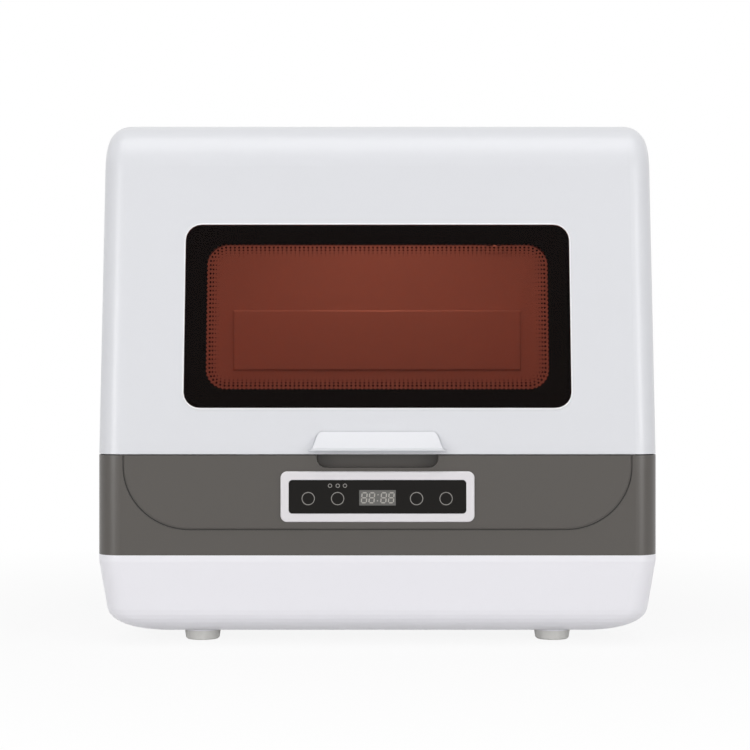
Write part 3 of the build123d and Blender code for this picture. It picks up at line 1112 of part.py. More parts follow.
def make_hinge_brackets():
    """A fixed barrel on a web that comes through the trough, with a foot screwed inside the column."""
    web_x = (BARREL_X[0] + 1.0, BARREL_X[1] - 1.0)
    web_low = HINGE_Z - 21.0
    foot_z = HINGE_Z - FOOT_DROP
    web = prism_x([(COLUMN_IN_FRONT, web_low), (HINGE_Y - 2.0, HINGE_Z - 9.0), (HINGE_Y, HINGE_Z),
                   (HINGE_Y + 17.0, HINGE_Z), (HINGE_Y + 17.0, HINGE_Z - 18.0),
                   (COLUMN_IN_FRONT + 4.0, foot_z), (COLUMN_IN_FRONT, foot_z)], web_x)
    web -= block(BARREL_X, (COLUMN_IN_FRONT - 10.0, COLUMN_IN_FRONT), (foot_z - 30.0, web_low + 0.5))
    foot = block(BARREL_X, (COLUMN_IN_FRONT, COLUMN_IN_FRONT + 3.0), (foot_z, foot_z + 38.0))
    bracket = along_hinge(BARREL_X, BARREL_R) + web + foot
    bracket -= along_hinge(BARREL_X, PIN_R + HOOK / 5)
    for x, z in bracket_screw_places():
        bracket -= rod((x, COLUMN_IN_FRONT, z), (x, COLUMN_IN_FRONT + 3.0, z), SCREW_R + RUN)
        bracket -= rod((x, COLUMN_IN_FRONT + 3.0, z), (x, COLUMN_IN_FRONT + 30.0, z), SCREW_HEAD_R + HOOK)
    return both(bracket)


def make_bracket_screws():
    screws = None
    for x, z in bracket_screw_places():
        seat = COLUMN_IN_FRONT + 3.0
        screw = rod((x, REAR_WALL_Y + HOOK, z), (x, seat, z), SCREW_R)
        screw += rod((x, seat, z), (x, seat + SCREW_HEAD_T, z), SCREW_HEAD_R)
        screws = screw if screws is None else screws + screw
    return both(screws)


def make_hinge_pins():
    head_x = ARM_X[1] + GAP
    pin = along_hinge((BARREL_X[0], head_x), PIN_R) + along_hinge((head_x, head_x + PIN_HEAD_T), PIN_HEAD_R)
    return both(pin)


def make_rear_cover():
    plate_y = (COVER_FRONT, BODY_REAR)
    cover = front_plate(COVER_W, COVER_HIGH - COVER_LOW, COVER_R, COVER_MID_Z, plate_y)
    for x, z in cover_screw_places():
        cover -= rod((x, COVER_FRONT, z), (x, BODY_REAR, z), SCREW_R + HOOK)
    slots = [block((FAN_X - 30.0, FAN_X + 30.0), plate_y, (z, z + 3.0))
             for z in [FAN_Z - 25.0 + 6.0 * step for step in range(9)]]
    slots += [block((MAIN_BOARD_X[0] + 20.0, MAIN_BOARD_X[1] - 10.0), plate_y, (z, z + 3.0))
              for z in [MAIN_BOARD_Z[0] + 20.0 + 6.0 * step for step in range(14)]]
    return cover - Compound(children=slots)


def make_rear_cover_screws():
    screws = []
    for x, z in cover_screw_places():
        head = Plane(origin=(x, BODY_REAR, z), z_dir=(0, 1, 0))
        align = (Align.CENTER, Align.CENTER, Align.MIN)
        screw = rod((x, COVER_FRONT - 8.0, z), (x, BODY_REAR, z), SCREW_R)
        screws.append(screw + head * Cone(SCREW_HEAD_R, SCREW_HEAD_R - 1.2, SCREW_HEAD_T, align=align))
    return Compound(children=screws)


def make_main_board():
    y = COLUMN_IN_FRONT + 8.0
    board = block(MAIN_BOARD_X, (y, y + BOARD_T), MAIN_BOARD_Z)
    rear = y + BOARD_T
    for right, up, width, height, depth in MAIN_BOARD_PARTS:
        x, z = MAIN_BOARD_X[0] + right, MAIN_BOARD_Z[0] + up
        board += block((x - width / 2, x + width / 2), (rear, rear + depth), (z - height / 2, z + height / 2))
    for x in (MAIN_BOARD_X[0] + 5.0, MAIN_BOARD_X[1] - 5.0):
        for z in (MAIN_BOARD_Z[0] + 5.0, MAIN_BOARD_Z[1] - 5.0):
            board += rod((x, COLUMN_IN_FRONT, z), (x, y, z), 3.0)
    return board


# ---------------------------------------------------------------- drying fan
def fan_rod(y, radius):
    """A round bar on the fan's axis."""
    return rod((FAN_X, y[0], FAN_Z), (FAN_X, y[1], FAN_Z), radius)


def make_fan_housing():
    half = FAN_BOX / 2
    box = block((FAN_X - half, FAN_X + half), FAN_Y, (FAN_Z - half, FAN_Z + half))
    box = fillet(box.edges().filter_by(Axis.Y), 4.0)
    housing = box + fan_rod((TUB_REAR + 0.5, FAN_Y[0]), FAN_BORE_R)
    housing -= fan_rod((TUB_REAR + 0.5, FAN_Y[1]), FAN_BORE_R - DUCT_WALL)
    motor_y = (FAN_Y[1] - 5.0, FAN_Y[1])
    housing += fan_rod(motor_y, 10.0)
    for step in range(3):
        spoke = block((8.0, FAN_BORE_R), (motor_y[0] + 1.0, motor_y[1]), (-1.5, 1.5))
        housing += Pos(FAN_X, 0, FAN_Z) * Rot(0, 120 * step + 30, 0) * spoke
    return housing + fan_rod((FAN_Y[0] + 6.0, motor_y[0]), FAN_SHAFT_R)


def make_fan_impeller():
    y = (FAN_Y[0] + 4.0, FAN_Y[1] - 6.0)
    tip_r = FAN_BORE_R - DUCT_WALL - 0.8
    mid_y = (y[0] + y[1]) / 2
    wheel = fan_rod(y, 8.5)
    wheel = fillet(wheel.edges().sort_by(Axis.Y)[0], 2.5)
    blades = None
    for step in range(FAN_BLADES):
        blade = Rot(38, 0, 0) * Box(tip_r, 15.0, 1.4, align=(Align.MIN, Align.CENTER, Align.CENTER))
        blade = Pos(FAN_X, mid_y, FAN_Z) * Rot(0, 360 / FAN_BLADES * step, 0) * blade
        blades = blade if blades is None else blades + blade
    ring = fan_rod(y, tip_r) - fan_rod(y, 6.0)
    wheel += blades & ring
    return wheel - fan_rod((FAN_Y[0] + 5.5, y[1]), FAN_SHAFT_R + RUN)


def make_air_grille():
    face = (TUB_IN_REAR - 2.0, TUB_IN_REAR)
    bore = FAN_BORE_R - DUCT_WALL - 0.5
    grille = fan_rod(face, bore + 3.0)
    grille += fan_rod((TUB_IN_REAR, TUB_IN_REAR + PANEL_T), bore - HOOK)
    grille -= fan_rod((TUB_IN_REAR, TUB_IN_REAR + PANEL_T), bore - 2.0)
    for step in range(-3, 4):
        z = FAN_Z + 5.0 * step
        reach = math.sqrt((bore - 2.5) ** 2 - (5.0 * abs(step) + 1.5) ** 2)
        grille -= block((FAN_X - reach, FAN_X + reach), face, (z - 1.5, z + 1.5))
    return grille


# ---------------------------------------------------------------- latch and door switch
def make_latch_clips():
    """Spring steel clips under the deck: two legs that flank the hood's tongue."""
    deck_under = DECK_TOP - DECK_T
    inner = TONGUE_W / 2 + CLIP_SIDE_GAP
    y = (TONGUE_Y[0] - 1.0, TONGUE_Y[1] + 1.0)
    low = TONGUE_BOTTOM - 8.0
    clip = block((-inner - CLIP_T, inner + CLIP_T), y, (low, deck_under))
    clip -= block((-inner, inner), y, (low + CLIP_T, deck_under))
    clip += block((-inner - 9.0, -inner - CLIP_T), y, (deck_under - CLIP_T, deck_under))
    clip += block((inner + CLIP_T, inner + 9.0), y, (deck_under - CLIP_T, deck_under))
    return both(Pos(LATCH_X, 0, 0) * clip)


def make_door_switch():
    under = DECK_TOP - DECK_T
    body = block((SWITCH_X - 10.0, SWITCH_X + 10.0), (SWITCH_Y - 4.0, SWITCH_Y + 4.0), (under - 22.0, under))
    body -= rod((SWITCH_X, SWITCH_Y, under - 12.0), (SWITCH_X, SWITCH_Y, under), PLUNGER_R + RUN)
    for x in (SWITCH_X - 7.0, SWITCH_X, SWITCH_X + 7.0):
        body += block((x - 1.5, x + 1.5), (SWITCH_Y - 0.4, SWITCH_Y + 0.4), (under - 28.0, under - 22.0))
    return body


def make_switch_plunger():
    under = DECK_TOP - DECK_T
    return rod((SWITCH_X, SWITCH_Y, under - 8.0), (SWITCH_X, SWITCH_Y, SEAL_TOP), PLUNGER_R)


# ---------------------------------------------------------------- basket
def u_wire(half_span, bottom, top):
    """A wire bent up at both ends, in the XZ plane."""
    route = FilletPolyline((-half_span, 0, top), (-half_span, 0, bottom), (half_span, 0, bottom),
                           (half_span, 0, top), radius=BEND_R)
    start = Plane(origin=route @ 0, z_dir=route % 0)
    return sweep(start * RegularPolygon(WIRE_R, 6), path=route)


def spread(count, span):
    """Evenly spaced places over a span, centred on zero."""
    return [span * (step / (count - 1) - 0.5) for step in range(count)]


def make_basket_long_wires():
    wire = u_wire(WIRE_END_X, LONG_WIRE_Z, RIM_Z)
    return Compound(children=[Pos(0, TUB_MID_Y + y, 0) * wire for y in spread(LONG_WIRES, LONG_WIRE_SPAN)])


def make_basket_cross_wires():
    """The bent wires that run front to back, and the straight rails that carry the tines."""
    bent = Rot(0, 0, 90) * u_wire(WIRE_END_Y, CROSS_WIRE_Z, RIM_Z)
    wires = [Pos(x, TUB_MID_Y, 0) * bent for x in spread(CROSS_WIRES, CROSS_WIRE_SPAN)]
    reach = COMB_SPAN / 2 + COMB_END
    for x in COMB_X:
        wires.append(rod((x, TUB_MID_Y - reach, COMB_Z), (x, TUB_MID_Y + reach, COMB_Z), WIRE_R))
    return Compound(children=wires)


def wire_loop(z, radius):
    """A closed wire round the basket's outside."""
    half_x, half_y, corner = BASKET_HALF_X, BASKET_HALF_Y, 20.0
    route = Pos(0, TUB_MID_Y, z) * RectangleRounded(2 * half_x, 2 * half_y, corner).face().outer_wire()
    start = Plane(origin=route @ 0, z_dir=route % 0)
    return sweep(start * RegularPolygon(radius, 6), path=route)


def make_basket_rim():
    return Compound(children=[wire_loop(RIM_Z, RIM_R), wire_loop(RAIL_Z, RIM_R)])


def make_basket_tines():
    """Leaning wires, each welded on top of its rail."""
    root_z = COMB_Z + WIRE_R + 2 * WIRE_GAP
    lean = math.tan(math.radians(TINE_LEAN))
    line = Vector(0, lean * (TINE_TOP - root_z), TINE_TOP - root_z)
    foot = root_z + WIRE_R * math.sin(math.radians(TINE_LEAN))
    tine = extrude(Plane(origin=(0, 0, foot), z_dir=line) * RegularPolygon(WIRE_R, 6), amount=line.length)
    return Compound(children=[Pos(x, TUB_MID_Y + y, 0) * tine
                              for x in COMB_X for y in spread(TINES, COMB_SPAN)])


def make_basket_feet():
    reach_x, reach_y = CROSS_WIRE_SPAN / 2, BASKET_HALF_Y - FOOT_MARGIN_Y
    low, high = TUB_FLOOR + GAP, CROSS_WIRE_Z - WIRE_R
    profile = [(0, low), (6.0, low), (5.0, high), (0, high)]
    return Compound(children=[turned(profile, x, TUB_MID_Y + y)
                              for x in (-reach_x, reach_x) for y in (-reach_y, reach_y)])


def make_cutlery_basket():
    top = CUTLERY_BOTTOM + CUTLERY_H
    outer = block(CUTLERY_X, CUTLERY_Y, (CUTLERY_BOTTOM, top))
    outer = fillet(outer.edges().filter_by(Axis.Z), CUTLERY_R)
    wall = CUTLERY_WALL
    mid_y = (CUTLERY_Y[0] + CUTLERY_Y[1]) / 2
    inside_x = (CUTLERY_X[0] + wall, CUTLERY_X[1] - wall)
    floor = CUTLERY_BOTTOM + wall
    cells = [block(inside_x, (CUTLERY_Y[0] + wall, mid_y - wall / 2), (floor, top)),
             block(inside_x, (mid_y + wall / 2, CUTLERY_Y[1] - wall), (floor, top))]
    for cell in cells:
        outer -= fillet(cell.edges().filter_by(Axis.Z), CUTLERY_R - wall)
    slots = []
    slot_z = (CUTLERY_BOTTOM + CUTLERY_SLOT_LOW, top - CUTLERY_SLOT_HIGH)
    half = CUTLERY_SLOT_W / 2
    for y in spread(8, CUTLERY_Y[1] - CUTLERY_Y[0] - 4 * CUTLERY_R):
        slots.append(block(CUTLERY_X, (mid_y + y - half, mid_y + y + half), slot_z))
    for x in spread(3, CUTLERY_X[1] - CUTLERY_X[0] - 4 * CUTLERY_R):
        centre = (CUTLERY_X[0] + CUTLERY_X[1]) / 2 + x
        across = (centre - half, centre + half)
        slots.append(block(across, (CUTLERY_Y[0], CUTLERY_Y[0] + wall), slot_z))
        slots.append(block(across, (CUTLERY_Y[1] - wall, CUTLERY_Y[1]), slot_z))
    return outer - Compound(children=slots)


# ---------------------------------------------------------------- write every piece
PIECES = {
    "base_shell": make_base_shell,
    "feet": make_feet,
    "foot_screws": make_foot_screws,
    "mid_band": make_mid_band,
    "control_bezel": make_control_bezel,
    "control_glass": make_control_glass,
    "control_board": make_control_board,
    "display_module": make_display_module,
    "touch_pads": make_touch_pads,
    "inner_tub": make_inner_tub,
    "rim_seal": make_rim_seal,
    "sump_bowl": make_sump_bowl,
    "filter_plate": make_filter_plate,
    "heater_ring": make_heater_ring,
    "riser_pipe": make_riser_pipe,
    "wash_pump": make_wash_pump,
    "drain_pump": make_drain_pump,
    "wash_duct": make_wash_duct,
    "drain_hose": make_drain_hose,
    "inlet_valve": make_inlet_valve,
    "inlet_tube": make_inlet_tube,
    "drain_outlet": make_drain_outlet,
    "cord_gland": make_cord_gland,
    "main_board": make_main_board,
    "rear_housing": make_rear_housing,
    "rear_cover": make_rear_cover,
    "rear_cover_screws": make_rear_cover_screws,
    "back_panel": make_back_panel,
    "back_seal": make_back_seal,
    "lamp_lens": make_lamp_lens,
    "lamp_board": make_lamp_board,
    "fan_housing": make_fan_housing,
    "air_grille": make_air_grille,
    "hinge_brackets": make_hinge_brackets,
    "hinge_pins": make_hinge_pins,
    "bracket_screws": make_bracket_screws,
    "latch_clips": make_latch_clips,
    "door_switch": make_door_switch,
    "hood_shell": make_hood_shell,
    "hood_liner": make_hood_liner,
    "window_outer_glass": make_window_outer_glass,
    "window_frame": make_window_frame,
    "window_inner_glass": make_window_inner_glass,
    "handle_grip": make_handle_grip,
    "latch_strikers": make_latch_strikers,
    "hinge_arms": make_hinge_arms,
    "hinge_bushes": make_hinge_bushes,
    "arm_rivets": make_arm_rivets,
    "basket_long_wires": make_basket_long_wires,
    "basket_cross_wires": make_basket_cross_wires,
    "basket_rim": make_basket_rim,
    "basket_tines": make_basket_tines,
    "basket_feet": make_basket_feet,
    "cutlery_basket": make_cutlery_basket,
    "spray_arm": make_spray_arm,
    "spray_arm_cap": make_spray_arm_cap,
    "micro_filter": make_micro_filter,
    "fan_impeller": make_fan_impeller,
    "switch_plunger": make_switch_plunger,
}

os.makedirs("parts", exist_ok=True)
for node, make in PIECES.items():
    save(make(), node)
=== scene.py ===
"""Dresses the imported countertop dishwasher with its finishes, prints and wires, in a plain studio.

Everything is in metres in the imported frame: +Z up, the front faces -Y, the origin on the ground.
"""

import math

import bmesh
import bpy
import numpy as np
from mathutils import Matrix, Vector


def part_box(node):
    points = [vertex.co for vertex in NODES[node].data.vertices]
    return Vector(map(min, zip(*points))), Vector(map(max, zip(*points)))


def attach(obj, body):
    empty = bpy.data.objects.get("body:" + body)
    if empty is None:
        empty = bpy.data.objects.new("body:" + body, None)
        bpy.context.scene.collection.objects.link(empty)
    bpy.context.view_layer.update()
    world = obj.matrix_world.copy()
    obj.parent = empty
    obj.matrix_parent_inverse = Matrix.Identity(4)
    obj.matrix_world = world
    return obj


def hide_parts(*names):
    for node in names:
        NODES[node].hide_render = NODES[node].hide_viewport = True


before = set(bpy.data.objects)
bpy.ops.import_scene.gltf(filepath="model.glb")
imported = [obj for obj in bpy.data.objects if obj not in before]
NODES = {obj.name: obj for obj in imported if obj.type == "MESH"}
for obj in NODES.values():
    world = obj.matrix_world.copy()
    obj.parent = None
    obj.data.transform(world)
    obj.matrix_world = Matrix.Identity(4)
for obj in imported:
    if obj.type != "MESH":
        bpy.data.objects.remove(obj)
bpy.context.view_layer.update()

bl_info = {
    "name": "Countertop Dishwasher",
    "version": (1, 0, 0),
    "blender": (4, 5, 0),
    "location": "3D View > Sidebar > Dishwasher",
    "description": "Finishes, window print, keys, basket wires and studio for the countertop dishwasher",
    "category": "Add Mesh",
}

MM = 0.001


# ---------------------------------------------------------------- colour and places
def linear(hex_colour):
    """An sRGB hex colour as linear red, green and blue."""
    parts = np.array([int(hex_colour[i:i + 2], 16) for i in (1, 3, 5)]) / 255
    return tuple(np.where(parts <= 0.04045, parts / 12.92, ((parts + 0.055) / 1.055) ** 2.4))


def low_corner(node):
    return np.array(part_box(node)[0])


def high_corner(node):
    return np.array(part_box(node)[1])


# ---------------------------------------------------------------- what a user may change
class DishwasherSizes(bpy.types.PropertyGroup):
    """Sizes of the pieces that are made here, in metres."""
    window_lean: bpy.props.FloatProperty(
        name="Window lean", description="How far the window leans back", default=math.radians(8.3),
        subtype="ANGLE")
    clear_width: bpy.props.FloatProperty(
        name="Clear width", description="See-through part of the window, across", default=0.264,
        unit="LENGTH")
    clear_height: bpy.props.FloatProperty(
        name="Clear height", description="See-through part of the window, up the slope", default=0.1135,
        unit="LENGTH")
    clear_corner: bpy.props.FloatProperty(
        name="Clear corner", description="Corner radius of the see-through part", default=0.0155,
        unit="LENGTH")
    dot_pitch: bpy.props.FloatProperty(
        name="Dot pitch", description="Distance between the printed dots along the edge", default=0.00336,
        unit="LENGTH")
    dot_row_pitch: bpy.props.FloatProperty(
        name="Dot row pitch", description="Distance between the rows of dots", default=0.0022,
        unit="LENGTH")
    key_ring: bpy.props.FloatProperty(
        name="Key ring", description="Outer radius of a key's printed ring", default=0.0050, unit="LENGTH")
    ring_line: bpy.props.FloatProperty(
        name="Ring line", description="Width of a key's printed line", default=0.00055, unit="LENGTH")
    digit_width: bpy.props.FloatProperty(
        name="Digit width", description="Width of one digit", default=0.0047, unit="LENGTH")
    digit_height: bpy.props.FloatProperty(
        name="Digit height", description="Height of one digit", default=0.0085, unit="LENGTH")
    wire_radius: bpy.props.FloatProperty(
        name="Wire radius", description="Radius of the basket's coated wires", default=0.0015, unit="LENGTH")
    rim_radius: bpy.props.FloatProperty(
        name="Rim radius", description="Radius of the basket's rim and rail", default=0.0022, unit="LENGTH")


class DishwasherColours(bpy.types.PropertyGroup):
    """Colours of the finishes."""
    hood: bpy.props.FloatVectorProperty(
        name="Hood", description="Moulded hood and rear column", default=linear("#DADBDF"), subtype="COLOR",
        size=3)
    # Painted light: the base's white is written lighter than the hood's, though both are the same white ABS.
    base: bpy.props.FloatVectorProperty(
        name="Base", description="Moulded base", default=linear("#EDECF1"), subtype="COLOR", size=3)
    band: bpy.props.FloatVectorProperty(
        name="Band", description="Control band", default=linear("#514D49"), subtype="COLOR", size=3)
    smoke: bpy.props.FloatVectorProperty(
        name="Smoke", description="What one face of the smoked glass lets through",
        default=(0.93, 0.475, 0.37), subtype="COLOR", size=3)


# ---------------------------------------------------------------- materials
def add_node(tree, kind, settings=None, links=None):
    """Add one shader node, set its inputs or properties, and link its inputs from other nodes' outputs."""
    node = tree.nodes.new(kind)
    for key, value in (settings or {}).items():
        if isinstance(key, str) and hasattr(node, key):
            setattr(node, key, value)
        else:
            node.inputs[key].default_value = value
    for key, source in (links or {}).items():
        tree.links.new(source, node.inputs[key])
    return node


def new_finish(name):
    """An empty material with its output, its Principled shader and its object coordinates."""
    material = bpy.data.materials.new(name)
    material.use_nodes = True
    tree = material.node_tree
    tree.nodes.clear()
    shader = add_node(tree, "ShaderNodeBsdfPrincipled")
    add_node(tree, "ShaderNodeOutputMaterial", links={"Surface": shader.outputs["BSDF"]})
    coords = add_node(tree, "ShaderNodeTexCoord").outputs["Object"]
    return material, tree, shader, coords


def shade(colour, factor):
    """A colour made lighter or darker, as a node socket takes it."""
    return (*[min(1.0, channel * factor) for channel in colour], 1.0)


def moulded(name, colour, roughness, grain, depth, drift=0.02, flow=0.09, ior=1.5, **sockets):
    """A moulded or coated surface.

    grain is the size in metres of the texture that the tool leaves, and depth its height; flow is the
    width of the faint drift in colour and gloss that the melt leaves as it fills the tool.
    """
    material, tree, shader, coords = new_finish(name)
    shader.inputs["IOR"].default_value = ior
    for key, value in sockets.items():
        shader.inputs[key.replace("_", " ")].default_value = value
    broad = add_node(tree, "ShaderNodeTexNoise", {"Scale": 1 / flow, "Detail": 2.0}, {"Vector": coords})
    ramp = add_node(tree, "ShaderNodeValToRGB", links={"Fac": broad.outputs["Fac"]})
    ramp.color_ramp.elements[0].color = shade(colour, 1 - drift)
    ramp.color_ramp.elements[1].color = shade(colour, 1 + drift)
    tree.links.new(ramp.outputs["Color"], shader.inputs["Base Color"])
    gloss = add_node(tree, "ShaderNodeMapRange", {"To Min": roughness * 0.9, "To Max": roughness * 1.1},
                     {"Value": broad.outputs["Fac"]})
    tree.links.new(gloss.outputs["Result"], shader.inputs["Roughness"])
    fine = add_node(tree, "ShaderNodeTexNoise", {"Scale": 1 / grain, "Detail": 3.0, "Roughness": 0.6},
                    {"Vector": coords})
    bump = add_node(tree, "ShaderNodeBump", {"Strength": 0.5, "Distance": depth}, {"Height": fine.outputs["Fac"]})
    tree.links.new(bump.outputs["Normal"], shader.inputs["Normal"])
    return material


def darken(material, colour, limits):
    """Give a material another colour inside limits, each (axis, middle, half width), all of them at once."""
    tree = material.node_tree
    shader = [node for node in tree.nodes if node.type == "BSDF_PRINCIPLED"][0]
    coords = add_node(tree, "ShaderNodeTexCoord").outputs["Object"]
    axes = add_node(tree, "ShaderNodeSeparateXYZ", links={"Vector": coords}).outputs
    inside = None
    for axis, middle, half in limits:
        within = add_node(tree, "ShaderNodeMath", {"operation": "COMPARE", 1: middle, 2: half}, {0: axes[axis]})
        inside = within.outputs[0] if inside is None else add_node(
            tree, "ShaderNodeMath", {"operation": "MULTIPLY"}, {0: inside, 1: within.outputs[0]}).outputs[0]
    mix = add_node(tree, "ShaderNodeMixRGB", {"Color2": (*colour, 1.0)},
                   {"Fac": inside, "Color1": shader.inputs["Base Color"].links[0].from_socket})
    tree.links.new(mix.outputs["Color"], shader.inputs["Base Color"])
    return material


def add_relief(material, waves, depth, past=None):
    """Press a pattern of crossed sine waves into a material's surface.

    Each wave is (axis, centre, pitch): axis 0, 1 or 2 runs along X, Y or Z in metres, and axis "round"
    runs by the angle round an upright line through the centre, with the pitch in radians. The height is
    the product of sin(2 pi place / pitch). With past = (axis, place) it stands only beyond that place.
    """
    tree = material.node_tree
    shader = [node for node in tree.nodes if node.type == "BSDF_PRINCIPLED"][0]
    coords = add_node(tree, "ShaderNodeTexCoord").outputs["Object"]
    height = None
    for axis, centre, pitch in waves:
        shifted = add_node(tree, "ShaderNodeMapping", {"Location": [-float(value) for value in centre]},
                           {"Vector": coords})
        axes = add_node(tree, "ShaderNodeSeparateXYZ", links={"Vector": shifted.outputs["Vector"]}).outputs
        if axis == "round":
            place = add_node(tree, "ShaderNodeMath", {"operation": "ARCTAN2"}, {0: axes[1], 1: axes[0]}).outputs[0]
        else:
            place = axes[axis]
        turns = add_node(tree, "ShaderNodeMath", {"operation": "MULTIPLY", 1: 2 * math.pi / pitch}, {0: place})
        wave = add_node(tree, "ShaderNodeMath", {"operation": "SINE"}, {0: turns.outputs[0]}).outputs[0]
        height = wave if height is None else add_node(
            tree, "ShaderNodeMath", {"operation": "MULTIPLY"}, {0: height, 1: wave}).outputs[0]
    if past:
        axes = add_node(tree, "ShaderNodeSeparateXYZ", links={"Vector": coords}).outputs
        beyond = add_node(tree, "ShaderNodeMath", {"operation": "GREATER_THAN", 1: float(past[1])},
                          {0: axes[past[0]]}).outputs[0]
        height = add_node(tree, "ShaderNodeMath", {"operation": "MULTIPLY"}, {0: height, 1: beyond}).outputs[0]
    relief = add_node(tree, "ShaderNodeBump", {"Strength": 1.0, "Distance": depth},
                      {"Height": height, "Normal": shader.inputs["Normal"].links[0].from_socket})
    tree.links.new(relief.outputs["Normal"], shader.inputs["Normal"])
    return material


def drawn_metal(name, colour, roughness, along, line, depth=0.00004):
    """Metal with the fine lines that drawing, rolling or brushing leaves along one axis."""
    material, tree, shader, coords = new_finish(name)
    shader.inputs["Metallic"].default_value = 1.0
    stretch = [1 / line] * 3
    stretch["XYZ".index(along)] = 0.03 / line
    mapping = add_node(tree, "ShaderNodeMapping", {"Scale": stretch}, {"Vector": coords})
    lines = add_node(tree, "ShaderNodeTexNoise", {"Scale": 1.0, "Detail": 4.0},
                     {"Vector": mapping.outputs["Vector"]})
    ramp = add_node(tree, "ShaderNodeValToRGB", links={"Fac": lines.outputs["Fac"]})
    ramp.color_ramp.elements[0].color = shade(colour, 0.86)
    ramp.color_ramp.elements[1].color = shade(colour, 1.1)
    tree.links.new(ramp.outputs["Color"], shader.inputs["Base Color"])
    gloss = add_node(tree, "ShaderNodeMapRange", {"To Min": roughness * 0.7, "To Max": roughness * 1.3},
                     {"Value": lines.outputs["Fac"]})
    tree.links.new(gloss.outputs["Result"], shader.inputs["Roughness"])
    bump = add_node(tree, "ShaderNodeBump", {"Strength": 0.3, "Distance": depth}, {"Height": lines.outputs["Fac"]})
    tree.links.new(bump.outputs["Normal"], shader.inputs["Normal"])
    return material


def clear_pane(name, through, body, roughness=0.03):
    """Flat safety glass: a thin pane lets light straight on, tinted by each face, and mirrors a little.

    body is the share of each face that is dense and shiny instead of clear.
    """
    material = bpy.data.materials.new(name)
    material.use_nodes = True
    tree = material.node_tree
    tree.nodes.clear()
    coords = add_node(tree, "ShaderNodeTexCoord").outputs["Object"]
    streaks = add_node(tree, "ShaderNodeTexNoise", {"Scale": 1 / 0.12, "Detail": 3.0}, {"Vector": coords})
    haze = add_node(tree, "ShaderNodeMapRange", {"To Min": roughness * 0.6, "To Max": roughness * 1.6},
                    {"Value": streaks.outputs["Fac"]})
    pane = add_node(tree, "ShaderNodeBsdfTransparent", {"Color": (*through, 1.0)})
    mirror = add_node(tree, "ShaderNodeBsdfPrincipled",
                      {"Base Color": (0.004, 0.003, 0.003, 1.0), "Specular IOR Level": 0.5},
                      {"Roughness": haze.outputs["Result"]})
    mix = add_node(tree, "ShaderNodeMixShader", {0: body}, {1: pane.outputs["BSDF"], 2: mirror.outputs["BSDF"]})
    add_node(tree, "ShaderNodeOutputMaterial", links={"Surface": mix.outputs["Shader"]})
    return material


def dress(nodes, material):
    """Give CAD nodes a finish."""
    for node in nodes:
        mesh = NODES[node].data
        if mesh.materials:
            mesh.materials[0] = material
        else:
            mesh.materials.append(material)


# ---------------------------------------------------------------- surfaces
def grid_faces(rows, columns, wrap_rows=False, wrap_columns=False):
    """The four-cornered faces of a grid of points, as one array; a wrapped side joins last to first."""
    row = np.arange(rows if wrap_rows else rows - 1)
    column = np.arange(columns if wrap_columns else columns - 1)
    r, c = np.meshgrid(row, column, indexing="ij")
    r2, c2 = (r + 1) % rows, (c + 1) % columns
    corners = [r * columns + c, r * columns + c2, r2 * columns + c2, r2 * columns + c]
    return np.stack(corners, axis=-1).reshape(-1, 4)


def join_surfaces(surfaces):
    """Several (points, faces) pairs as one."""
    points, faces, count = [], [], 0
    for some_points, some_faces in surfaces:
        points.append(some_points)
        faces += [tuple(int(i) + count for i in face) for face in some_faces]
        count += len(some_points)
    return np.concatenate(points), faces


def make_piece(name, surface, material, body, smooth=True, merge=0.0):
    """Put a surface into a mesh, merge its points that lie closer than merge, turn its faces outwards and let it ride
    on a body.
    """
    points, faces = surface
    mesh = bpy.data.meshes.new(name)
    mesh.from_pydata(points.tolist(), [], [tuple(map(int, face)) for face in faces])
    work = bmesh.new()
    work.from_mesh(mesh)
    if merge:
        bmesh.ops.remove_doubles(work, verts=work.verts, dist=merge)
    bmesh.ops.recalc_face_normals(work, faces=work.faces)
    work.to_mesh(mesh)
    work.free()
    mesh.polygons.foreach_set("use_smooth", [smooth] * len(mesh.polygons))
    mesh.materials.append(material)
    piece = bpy.data.objects.new(name, mesh)
    bpy.context.scene.collection.objects.link(piece)
    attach(piece, body)
    return piece


def rounded_route(corners, bend, steps=6):
    """Points along straight runs joined by arcs of radius bend, for corners that turn by a right angle.

    Each corner gives the quarter circle that touches both runs: centre + bend (cos a, sin a).
    """
    corners = np.asarray(corners, float)
    into = corners[1:-1] - corners[:-2]
    out = corners[2:] - corners[1:-1]
    into /= np.linalg.norm(into, axis=1)[:, None]
    out /= np.linalg.norm(out, axis=1)[:, None]
    angle = np.linspace(0, np.pi / 2, steps)[None, :, None]
    centre = corners[1:-1] - bend * into + bend * out
    arcs = centre[:, None] - bend * out[:, None] * np.cos(angle) + bend * into[:, None] * np.sin(angle)
    return np.concatenate([corners[:1], arcs.reshape(-1, 3), corners[-1:]])


